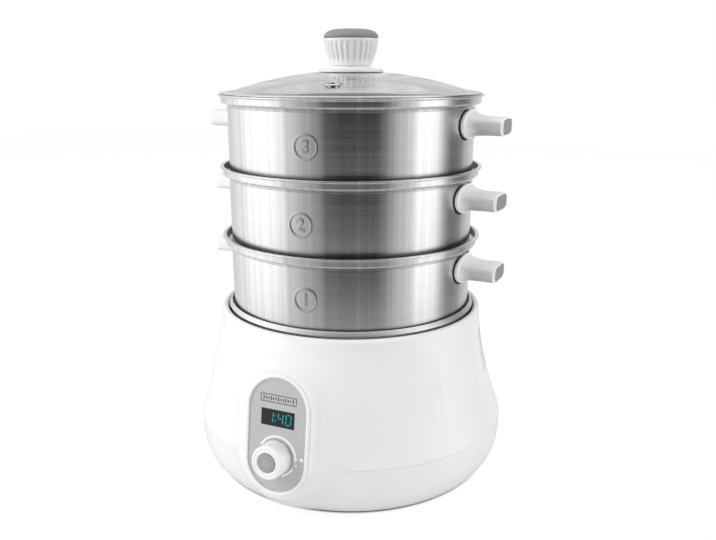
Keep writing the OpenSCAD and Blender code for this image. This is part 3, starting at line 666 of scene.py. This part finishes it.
def makeBowl():
    t, inner, seat, top = bowl["wall"], bowl["collar"], bowl["seat"], bowl["top"]
    outline = roundCorners(
        [
            (0.0, bowl["floor"]), (bowl["radius"], bowl["floor"], 14.0), (bowl["radius"], seat, 0.8),
            (inner, seat, 0.8), (inner, top - 0.4, 0.4), (inner + 0.5, top, 0.4),
            (inner + 2.9, top - 3.8, 0.8), (inner + 2.5, top - 4.3, 0.2), (inner + t, top - 2.4, 0.4),
            (inner + t, seat - t, 1.2),
            (bowl["radius"] + t, seat - t, 0.6), (bowl["radius"] + t, bowl["floor"] - t, 14.8),
            (0.0, bowl["floor"] - t),
        ]
    )
    addPiece("waterBowl", *lathe(outline), "base", "bowl_steel", ["water_bowl"])


makeBowl()

# the control panel: bezel, prints, display and dial

stadiumSteps = 28


def stadium(halfWidth, halfHeight):
    points = []
    for side, start in ((1, 0.0), (-1, math.pi)):
        for i in range(stadiumSteps + 1):
            a = start + math.pi * i / stadiumSteps
            points.append(
                (halfWidth * math.cos(a), side * (halfHeight - halfWidth) + halfWidth * math.sin(a))
            )
    return points


def makeBezel():
    # (distance out of the faceplate's edge, height out of the panel)
    section = [(-0.6, 0.05), (-0.6, 1.1, 0.5), (0.9, 1.5, 0.9), (2.5, 1.0, 0.8), (2.9, -0.4)]
    section = roundCorners(section, 4)
    rings = []
    for i in range(len(stadium(1, 1))):
        ring = []
        for out, height in section:
            x, y = stadium(panel["halfWidth"] + out, panel["halfHeight"] + out)[i]
            ring.append((x, y, height))
        rings.append(ring)
    points, faces = loft(rings, closed=True)
    points = moved(points, panelFrame)
    addPiece("panelBezel", points, faces, "base", "white_plastic", ["panel_bezel"], 50)


def ringArc(radius, width, start, end, steps=40):
    outer = [
        (radius + width / 2, start + (end - start) * i / steps) for i in range(steps + 1)
    ]
    inner = [(radius - width / 2, a) for _, a in reversed(outer)]
    return [(r * math.cos(math.radians(a)), r * math.sin(math.radians(a))) for r, a in outer + inner]


def printed(name, outlines, low, high, where, finish, body="base"):
    # each shape is one outline, or an outline and its holes
    parts = [shape if isinstance(shape[0], list) else [shape] for shape in outlines]
    points, faces = joined(*(plate(part, low, high) for part in parts))
    return addPiece(name, moved(points, where), faces, body, finish, sharp=30)


prints = {
    "radius": 16.5,
    "width": 1.7,
    "thick": 0.12,
    "middle": (0.9, 0.7),
    "wide": (4, 153),  # start and end of the long arc
    "short": (-72, -27),
    "dot": (5.4, 1.4, 1.45),  # place beyond the arc and radius
    "star": (0.6, -4.4),
}


def makePrints():
    low, high = 0.01, prints["thick"]
    r, w = prints["radius"], prints["width"]
    arrow = [(r - 2.0, 1.6), (r + 2.0, 1.6), (r + 0.1, -2.4)]
    marks = [ringArc(r, w, *prints["wide"]), ringArc(r - 0.5, w, *prints["short"], 12), arrow]
    out, up, dot = prints["dot"]
    marks += [circlePoints(r + out, up, dot, 20)]
    arm = [(-1.7, -0.3), (1.7, -0.3), (1.7, 0.3), (-1.7, 0.3)]
    out, up = prints["star"]
    for turn in (20, 80, 140):
        c, s = math.cos(math.radians(turn)), math.sin(math.radians(turn))
        marks.append([(r + out + x * c - y * s, up + x * s + y * c) for x, y in arm])
    where = dialFrame @ Matrix.Translation((*prints["middle"], 0))
    printed("dialMarks", marks, low, high, where, printWhite)


def segments(code, x, y, w, h, s):
    # seven-segment digit: code names the lit bars
    g = s * 0.12
    bars = {
        "a": (x + s / 2, x + w - s / 2, y + h, 0), "d": (x + s / 2, x + w - s / 2, y, 0),
        "g": (x + s / 2, x + w - s / 2, y + h / 2, 0),
        "f": (y + h / 2, y + h, x, 1), "e": (y, y + h / 2, x, 1),
        "b": (y + h / 2, y + h, x + w, 1), "c": (y, y + h / 2, x + w, 1),
    }
    shapes = []
    for bar in code:
        start, end, at, upright = bars[bar]
        start, end = start + g, end - g
        half = s / 2
        shape = [(start, at), (start + half, at - half), (end - half, at - half), (end, at),
                 (end - half, at + half), (start + half, at + half)]
        shapes.append([(b, a) for a, b in shape] if upright else shape)
    return shapes


display = {
    "digit": 4.3,
    "tall": 8.4,
    "bar": 0.95,
    "face": -0.1,
    "hours": -4.4,  # right end of the hours
    "colon": -2.2,
    "minutes": (0.3, 7.4),
    "slant": 0.07,
}


def makeDisplay():
    low, high = display["face"] + 0.01, display["face"] + 0.08
    w, h, s = display["digit"], display["tall"], display["bar"]
    y = -h / 2
    shapes = segments("bc", display["hours"] - w, y, w, h, s)
    for bars, x in zip(("bcfg", "abcdef"), display["minutes"]):
        shapes += segments(bars, x, y, w, h, s)
    for dy in (-1.9, 1.9):
        shapes.append(circlePoints(display["colon"], dy, 0.55, 10))
    slant = Matrix(((1, display["slant"], 0, 0), (0, 1, 0, 0), (0, 0, 1, 0), (0, 0, 0, 1)))
    where = panelFrame @ Matrix.Translation((0, panel["windowRise"], 0)) @ slant
    printed("displayDigits", shapes, low, high, where, digitGlow)


field = {
    "half": (16.2, 3.25),
    "rise": 29.4,
    "line": 0.5,
    "ticks": 13,
    "first": -13.2,
    "step": 2.2,
    "tall": 1.7,
    "short": 1.0,
}


def makePlate():
    # an outlined field above the display, filled with a plain row of ticks
    half, line = field["half"], field["line"]
    corner = [(x * half[0], y * half[1], 1.0) for x, y in ((-1, -1), (1, -1), (1, 1), (-1, 1))]
    inner = [(x - math.copysign(line, x), y - math.copysign(line, y), 0.7) for x, y, _ in corner]
    shapes = [[roundCorners(corner, 4), roundCorners(inner, 4)]]
    for i in range(field["ticks"]):
        x, tall = field["first"] + i * field["step"], field["short" if i % 3 else "tall"]
        shapes.append([(x - 0.4, -tall), (x + 0.4, -tall), (x + 0.4, tall), (x - 0.4, tall)])
    where = panelFrame @ Matrix.Translation((0, field["rise"], 0))
    printed("fieldOutline", shapes, 0.01, 0.1, where, printDark)


dial = {"foot": 14.2, "tall": 16.0, "cup": 7.9, "sleeve": 5.0, "button": 7.6}


def makeDial():
    f, h, cup = dial["foot"], dial["tall"], dial["cup"]
    outline = roundCorners(
        [
            (3.0, -10.0), (dial["sleeve"], -10.0), (dial["sleeve"], 4.0), (f - 2.4, 4.0),
            (f - 2.4, 0.8), (f, 0.8, 0.4), (f - 0.2, 2.2, 0.3), (f - 0.5, h - 1.4, 1.4),
            (f - 1.9, h - 0.1, 0.9), (f - 2.9, h - 0.1, 0.3), (f - 3.2, h - 0.5, 0.3),
            (f - 3.6, h - 0.5, 0.3), (f - 3.9, h, 0.3), (cup + 0.9, h, 0.5), (cup, h - 0.9, 0.5),
            (cup, 6.5, 0.3), (3.0, 6.5),
        ],
        5,
    )
    points, faces = lathe(outline, 128)
    addPiece("timerDial", moved(points, dialFrame), faces, "dial", "white_knob", ["timer_knob"], 50)
    r = dial["button"]
    outline = roundCorners(
        [
            (0.0, h - 0.2), (r, h - 0.35, 0.7), (r, h - 3.9, 0.3), (2.6, h - 3.9), (2.6, -7.6),
            (0.0, -7.6),
        ],
        5,
    )
    points, faces = lathe(outline, 96)
    points = moved(points, dialFrame)
    addPiece("powerButton", points, faces, "button", "grey_button", ["power_button"], 50)
    ring = ringArc(2.2, 0.5, 125, 415, 36)
    bar = [(-0.25, 0.4), (0.25, 0.4), (0.25, 3.0), (-0.25, 3.0)]
    printed("powerSymbol", [ring, bar], h - 0.3, h - 0.12, dialFrame, printFaint, "button")


makeBezel()
makePrints()
makeDisplay()
makePlate()
makeDial()
print("panel made")

# the three baskets, each a brushed pan with a collar that seats the next one

pan = {
    "first": 143.3,
    "pitch": 61.0,
    "tall": 69.6,
    "wall": 108.2,
    "taper": 0.7,
    "steel": 0.9,
    "collar": 113.2,
    "lip": 115.7,
    "neck": 1.0,
    "floor": 100.0,  # where the floor meets the wall's foot
    "rings": 5,  # rings of steam holes round the middle one
    "holes": 18.0,
    "hole": 3.0,
    "turns": (-1.8, -3.6, -0.8),
}
tiers = ("lower", "middle", "upper")


def wallRadius(z):
    return pan["wall"] - pan["taper"] * (1 - z / (pan["pitch"] - 2.4))


def panOutline():
    t, low, p, top = pan["steel"], pan["wall"] - pan["taper"], pan["pitch"], pan["tall"]
    wall, collar, lip = pan["wall"], pan["collar"], pan["lip"]
    neck = wall - pan["neck"]
    return roundCorners(
        [
            (pan["floor"], 0.0), (low, 0.0, 0.8), (wall, p - 2.1, 0.5), (neck, p - 1.3, 0.35),
            (neck + 0.6, p - 0.7, 0.4), (collar, p + 1.4, 1.6), (collar, top - 1.6, 0.7),
            (lip - 0.1, top - 1.6, 0.8), (lip, top, 0.8), (collar - t, top, 0.6),
            (collar - t, p + 2.1, 1.2), (neck + 1.0, p + 0.3, 0.3), (neck + 0.4, p - 0.3, 0.2),
            (neck - t, p - 0.3, 0.3), (neck - t, p - 1.8, 0.4), (wall - t, p - 2.8, 0.4),
            (low - t, t, 1.0), (pan["floor"], t),
        ],
        5,
    )


badge = {"z": 33.1, "turn": 6.0, "radius": 10.3, "line": 1.5, "tall": 0.8, "numeral": 14.5}


def numeral(text):
    curve = bpy.data.curves.new("numeral", "FONT")
    curve.body, curve.size, curve.align_x, curve.align_y = text, badge["numeral"], "CENTER", "CENTER"
    curve.extrude, curve.bevel_depth, curve.offset = 0.5, 0.25, 0.2
    return curveShape(curve)


def makeBadge(tier, body, turn, lift):
    # a circle round the number of the tier, wrapped round the wall
    outer, inner = (circlePoints(0, 0, badge["radius"] - d, 72) for d in (0, badge["line"]))
    points, faces = joined(plate([outer, inner], -0.5, badge["tall"], 0.35), numeral(str(tier + 1)))
    wrapped = []
    for x, y, out in points:
        r = wallRadius(badge["z"] + y) + out
        a = math.radians(turn + badge["turn"] - 90) + x / wallRadius(badge["z"])
        wrapped.append((r * math.cos(a), r * math.sin(a), lift + badge["z"] + y))
    addPiece(tiers[tier] + "Badge", wrapped, faces, body, badgeSteel, sharp=50)


def makePan(tier):
    name, body = tiers[tier], tiers[tier] + "_tier"
    lift, turn = pan["first"] + tier * pan["pitch"], pan["turns"][tier]
    wall = [(r, z + lift) for r, z in panOutline()]
    holes = []
    for k in range(pan["rings"] + 1):
        count = max(1, 6 * k)
        for i in range(count):
            a = math.radians(turn + i * 60 / max(1, k))
            x, y = k * pan["holes"] * math.cos(a), k * pan["holes"] * math.sin(a)
            holes.append(circlePoints(x, y, pan["hole"], 20))
    edge = circlePoints(0, 0, pan["floor"], 240)
    floor = plate([edge] + holes, lift, lift + pan["steel"])
    points, faces = joined(lathe(wall), floor)
    addPiece(name + "Pan", points, faces, body, "brushed_steel", [name + "_basket"], 38)
    makeBadge(tier, body, turn, lift)


for tier in range(3):
    makePan(tier)
print("baskets made")

# handles: an oval pad on the wall, a waist and a soft rectangular grip

grip = {
    "z": 45.2,
    "off": 0.65,  # thickness of the gasket
    "hug": 9.0,  # the pad follows the round wall up to here, and the grip is straight
    "sections": [  # distance from the wall, half width, half height, squareness, rise
        (0.0, 21.0, 12.2, 2.2, 1.0), (0.7, 21.5, 12.6, 2.2, 1.0), (1.8, 21.5, 12.6, 2.2, 1.0),
        (2.4, 21.0, 12.1, 2.2, 1.0), (2.6, 19.4, 10.9, 2.25, 1.0), (4.2, 18.2, 9.9, 2.35, 0.9),
        (6.5, 17.2, 8.9, 2.5, 0.6), (10.0, 16.2, 8.1, 2.9, 0.3), (14.0, 15.7, 7.6, 3.3, 0.0),
        (19.0, 15.5, 7.4, 3.7, 0.0), (25.0, 15.5, 7.4, 3.9, 0.0), (30.3, 15.5, 7.4, 3.9, 0.0),
        (31.0, 15.3, 7.2, 3.9, 0.0), (31.25, 14.9, 6.8, 3.9, 0.0),
    ],
    "mouth": [(31.25, 14.4, 6.3, 3.9, 0.0), (31.0, 14.2, 6.1, 3.9, 0.0), (29.5, 14.1, 6.0, 3.9, 0.0)],
    "cap": [(29.5, 14.0, 5.9, 3.9, 0.0), (30.8, 14.0, 5.9, 3.9, 0.0), (31.05, 13.8, 5.7, 3.9, 0.0)],
}


def ovalRing(x, halfWidth, halfTall, square, rise, count=64):
    ring = []
    for i in range(count):
        a = 2 * math.pi * i / count
        c, s = math.cos(a), math.sin(a)
        ring.append(
            (
                x,
                math.copysign(abs(c) ** (2 / square), c) * halfWidth,
                math.copysign(abs(s) ** (2 / square), s) * halfTall + rise,
            )
        )
    return ring


def makeHandles(tier):
    name, body = tiers[tier], tiers[tier] + "_tier"
    wall = pan["wall"] + grip["off"]
    lift = pan["first"] + tier * pan["pitch"] + grip["z"]
    sleeve, caps = [], []
    rings = [ovalRing(*section) for section in grip["sections"] + grip["mouth"]]
    hugging = []
    for ring in rings:
        bent = []
        for x, y, z in ring:
            follow = max(0.0, 1 - x / grip["hug"])
            bent.append((wall + x + (math.sqrt(wall**2 - y**2) - wall) * follow, y, z))
        hugging.append(bent)
    capRings = [[(wall + x, y, z) for x, y, z in ovalRing(*section)] for section in grip["cap"]]
    for side in (0, 180):
        where = Matrix.Translation((0, 0, lift)) @ Matrix.Rotation(
            math.radians(pan["turns"][tier] + side), 4, "Z"
        )
        for made, shape in ((sleeve, loft(hugging)), (caps, loft(capRings))):
            made.append((moved(shape[0], where), shape[1]))
    points, faces = joined(*sleeve)
    addPiece(name + "Grips", points, faces, body, gripPlasticPaintedShade, [name + "_handles"], 40, "white_plastic")
    addPiece(name + "GripCaps", *joined(*caps), body, "grey_cap", [name + "_handle_caps"], 40)


for tier in range(3):
    makeHandles(tier)
print("handles made")

# the lid: glass dome (the frame's own), steel rim, vent and the fluted knob

lidSizes = {
    "apex": 354.0,
    "dome": 325.0,
    "glass": 4.0,
    "edge": 110.2,
    "flange": 113.8,
    "seat": 335.2,
    "vent": 78.0,
    "ventTurn": 13.5,
    "foot": 17.6,
    "top": 23.6,
    "plate": 27.7,
    "bodyZ": 357.9,
    "bodyTall": 23.1,
    "capZ": 381.3,
    "capTall": 7.3,
    "capDome": 13.0,
    "flutes": 28,
    "fluteDepth": 1.15,
    "fluteHalf": 0.36,  # half a flute's width, as a share of the pitch
    "edgeRound": 0.7,
}


def sag(radius, at):
    return radius - math.sqrt(radius**2 - at**2)


def makeLidRim():
    s = lidSizes
    edge, arm = s["edge"], s["edge"] - 3
    inner = s["dome"] - s["glass"]
    top = s["apex"] - sag(s["dome"], edge)
    under = s["apex"] - s["glass"] - sag(inner, edge)
    armTop = s["apex"] - sag(s["dome"], arm) + 0.1
    armUnder = s["apex"] - s["glass"] - sag(inner, arm) - 0.1
    seat, collar = s["seat"], pan["collar"] - pan["steel"]
    outline = roundCorners(
        [
            (arm, armTop), (arm, armTop + 0.8, 0.4), (edge + 0.6, top + 1.7, 1.2),
            (s["flange"] - 1.0, seat + 1.3, 0.8), (s["flange"], seat + 0.7, 0.4),
            (s["flange"] - 0.3, seat),
            (collar - 1.2, seat, 0.5), (collar - 1.4, under - 0.9, 0.6), (arm, armUnder - 0.8, 0.3),
            (arm, armUnder), (edge + 0.1, under - 0.1), (edge + 0.1, top + 0.1),
        ],
        5,
    )
    addPiece("lidRim", *lathe(outline), "lid", "polished_steel", ["lid_rim"], 45)


def makeVent():
    s = lidSizes
    outline = roundCorners(
        [
            (2.8, -4.8, 0.2), (6.0, -4.8, 0.4), (6.0, -4.12, 0.2), (4.1, -4.12), (4.1, 0.12),
            (7.1, 0.12, 0.2), (7.0, 0.9, 0.5), (5.2, 1.5, 0.8), (3.6, 1.2, 0.5), (2.8, 0.3, 0.4),
        ],
        4,
    )
    lean = math.asin(s["vent"] / s["dome"])
    where = (
        Matrix.Translation((0, 0, s["apex"] - s["dome"]))
        @ Matrix.Rotation(math.radians(s["ventTurn"]), 4, "Z")
        @ Matrix.Rotation(lean, 4, "X")
        @ Matrix.Translation((0, 0, s["dome"]))
    )
    points, faces = lathe(outline, 48)
    points = moved(points, where)
    addPiece("ventEyelet", points, faces, "lid", badgeSteel, ["vent_eyelet"], 45, "polished_steel")


def makeKnob():
    s = lidSizes
    foot, top, z, tall = s["foot"], s["top"], s["bodyZ"], s["bodyTall"]
    inner, outer, sit = foot - 1, s["plate"], s["apex"] + 0.8
    edge = sit - sag(s["dome"], outer)
    collar = roundCorners(
        [
            (0.0, sit - 0.6), (inner, sit - 0.6), (inner, sit - sag(s["dome"], inner)),
            (outer, edge), (outer + 0.15, edge), (outer + 0.15, edge - 0.5), (outer + 0.6, edge - 0.5),
            (outer + 0.3, sit + 0.1, 0.3), (outer - 2.2, sit + 0.8, 0.8), (foot + 1.6, sit + 1.2, 0.8),
            (foot + 0.4, z - 0.3, 0.4), (0.0, z - 0.3),
        ],
        5,
    )
    addPiece("knobCollar", *lathe(collar, 160), "lid", "white_plastic", ["knob_flange"], 45)
    across, rows = 12, 56  # points over a flute, and rows up the grip
    columns, soft = s["flutes"] * across, s["edgeRound"]
    rings = []
    for j in range(rows + 1):
        u = j / rows
        r = foot + (top - foot) * (1 - (1 - u) ** 1.6)
        up, down = u * tall, (1 - u) * tall
        r -= soft * max(0.0, 1 - min(up, down) / soft) ** 2
        fade = min(1.0, max(0.0, (up - 2.6) / 4)) * min(1.0, max(0.0, (down - 2.0) / 3))
        ring = []
        for i in range(columns):
            phase = (i % across) / across
            groove = max(0.0, 1 - abs(phase - 0.5) / s["fluteHalf"])
            depth = s["fluteDepth"] * (1 - (1 - groove) ** 2) * fade
            a = 2 * math.pi * i / columns
            ring.append(((r - depth) * math.cos(a), (r - depth) * math.sin(a), z + u * tall))
        rings.append(ring)
    points, faces = loft(rings)
    addPiece("knobGrip", points, faces, "lid", "white_plastic", ["lid_knob"], 45)
    z, tall, bulge = s["capZ"], s["capTall"], s["capDome"]
    dome = [
        (top - bulge + bulge * math.cos(a), z + 0.6 + (tall - 0.6) * math.sin(a))
        for a in np.linspace(0.1, math.pi / 2, 14)
    ]
    outline = [(0.0, z - 0.2), (top - 2, z - 0.2), (top - 2, z)]
    outline += roundCorners([(top - 0.4, z), (top, z + 0.5)], 1) + dome + [(0.0, z + tall)]
    addPiece("knobCap", *lathe(outline, 160), "lid", "grey_cap", ["knob_cap"], 45)


makeLidRim()
makeVent()
makeKnob()
print("lid made")

# the studio: white surroundings, with the light and dark cards that the steel reflects

studio = {
    # azimuth from the camera's side in degrees, to its right positive, and the card's level
    "cards": [
        (-180, 0.75), (-150, 0.75), (-120, 1.1), (-100, 1.45), (-84, 1.5), (-70, 1.35), (-62, 0.95),
        (-46, 0.55), (-32, 0.32), (-22, 0.05), (-10, 0.0), (24, 0.0), (34, 0.25), (44, 0.6),
        (56, 0.75), (61, 1.45), (83, 1.45), (92, 0.7), (97, 0.35), (104, 0.15), (118, 0.2),
        (136, 0.65), (180, 0.75),
    ],
    "brightest": 1.5,  # level that the ramp's white stands for
    "streaks": 0.9,
    "waver": 0.02,  # unevenness of the cards' edges
    "lowFrom": 0.32,  # how far down the worktop starts, and how soon it takes over
    "lowGain": 10.0,
    "lowLevel": 0.62,
    "lowTop": 0.85,
    "ceiling": 0.64,  # where the bright ceiling starts
    "ceilingGain": 3,
    "top": 1.35,  # the ceiling's level
    "calm": 0.12,  # where the streaks end, so that the lid's glass has none
    "calmGain": 4,
    "fill": 0.7,  # light on all that isn't shiny
}


def makeWorld():
    world = bpy.data.worlds.new("studio")
    scene.world = world
    finish = Finish(world)
    way = finish.node("ShaderNodeTexCoord", output="Generated")
    turned = finish.node(
        "ShaderNodeVectorRotate",
        {"rotation_type": "Z_AXIS"},
        {"Vector": way, "Angle": -math.radians(photo["azimuth"])},
    )
    x, y, z = finish.split(turned)
    azimuth = x.maths("ARCTAN2", x, 0 - y)
    # fine upright streaks: noise that varies with the azimuth only
    streak = finish.node(
        "ShaderNodeTexNoise", {"noise_dimensions": "1D"}, {"W": azimuth, "Scale": 26.0, "Detail": 5.0}
    )
    place = azimuth / (2 * math.pi) + 0.5 + (streak - 0.5) * studio["waver"]
    stops = [((a + 180) / 360, card / studio["brightest"]) for a, card in studio["cards"]]
    cards = finish.node("ShaderNodeValToRGB", {"stops": stops}, {0: place})
    above = (z - studio["ceiling"]) * studio["ceilingGain"]
    high = z.maths("SMOOTH_MIN", 1, z.maths("MAXIMUM", 0, above), 0.1)
    rays = finish.tree.nodes.new("ShaderNodeLightPath")
    kinds = ("Is Camera Ray", "Is Glossy Ray", "Is Transmission Ray")
    seen, shiny, through = (Value(finish, rays.outputs[kind]) for kind in kinds)
    level = finish.node("ShaderNodeSeparateColor", {}, {"Color": cards}) * studio["brightest"]
    calm = clamped((z - studio["calm"]) * studio["calmGain"])
    level = level * (1 + (streak - 0.5) * (1 - calm) * studio["streaks"])
    # low down the pale worktop evens the cards out
    low = z.maths("MAXIMUM", 0, 0 - z - studio["lowFrom"]) * studio["lowGain"]
    low = low.maths("MINIMUM", studio["lowTop"], low)
    glossy = (level * (1 - low) + low * studio["lowLevel"]) * (1 - high) + high * studio["top"]
    white = seen.maths("MAXIMUM", seen, through * (1 - shiny))
    strength = white + (1 - white) * (shiny * glossy + (1 - shiny) * studio["fill"])
    shader = finish.node("ShaderNodeBackground", {}, {"Color": (1, 1, 1, 1), "Strength": strength})
    finish.node("ShaderNodeOutputWorld", {}, {"Surface": shader})


worktop = {
    "half": 3.0,
    "under": 0.1255,  # radius of the painted shadow under the base
    "edge": 330,
    "shade": (0.03, 0.03, 0.03, 1),
    "paper": (0.88, 0.88, 0.88, 1),
    "white": 1.08,
}


def makeFloor():
    mesh = bpy.data.meshes.new("floor")
    half = worktop["half"]
    corner = [(-half, -half, 0), (half, -half, 0), (half, half, 0), (-half, half, 0)]
    mesh.from_pydata(corner, [], [(0, 1, 2, 3)])
    floor = bpy.data.objects.new("floor", mesh)
    scene.collection.objects.link(floor)
    finish = newFinish("floorPaper")
    rays = finish.node("ShaderNodeLightPath", output="Is Camera Ray")
    way = finish.node("ShaderNodeTexCoord", output="Object")
    out = finish.node("ShaderNodeVectorMath", {"operation": "LENGTH"}, {0: way}, output=1)
    # painted shadow: inside that radius the floor is a near black emission, seen as a dark line under
    # the skirt
    clear = clamped((out - worktop["under"]) * worktop["edge"])
    paper = finish.node("ShaderNodeBsdfDiffuse", {}, {"Color": worktop["paper"]})
    shade = finish.node("ShaderNodeEmission", {}, {"Color": worktop["shade"], "Strength": 1.0})
    bright = {"Color": (1, 1, 1, 1), "Strength": worktop["white"]}
    white = finish.node("ShaderNodeEmission", {}, bright)
    mixed = finish.node("ShaderNodeMixShader", {}, {0: rays * 0.8, 1: paper, 2: white})
    mixed = finish.node("ShaderNodeMixShader", {}, {0: clear, 1: shade, 2: mixed})
    mesh.materials.append(finish.surface(mixed))
    floor.visible_glossy = False


lamps = {  # places are turned with the camera: -Y towards it, +X to its right
    "keyLamp": {"place": (-1.5, -0.5, 1.1), "size": (1.0, 1.0), "power": 16.0},
    "sideLamp": {"place": (1.7, -0.2, 0.9), "size": (0.7, 1.0), "power": 10.0},
}


def makeLamp(name, place, size, power):
    data = bpy.data.lights.new(name, "AREA")
    data.shape, data.size, data.size_y, data.energy = "RECTANGLE", size[0], size[1], power
    lamp = bpy.data.objects.new(name, data)
    lamp.location = Matrix.Rotation(math.radians(photo["azimuth"]), 4, "Z") @ Vector(place)
    aim = Vector((0, 0, 0.15)) - lamp.location
    lamp.rotation_euler = aim.to_track_quat("-Z", "Y").to_euler()
    lamp.visible_glossy = False
    scene.collection.objects.link(lamp)


makeWorld()
makeFloor()
for name, lamp in lamps.items():
    makeLamp(name, **lamp)
print("studio made")
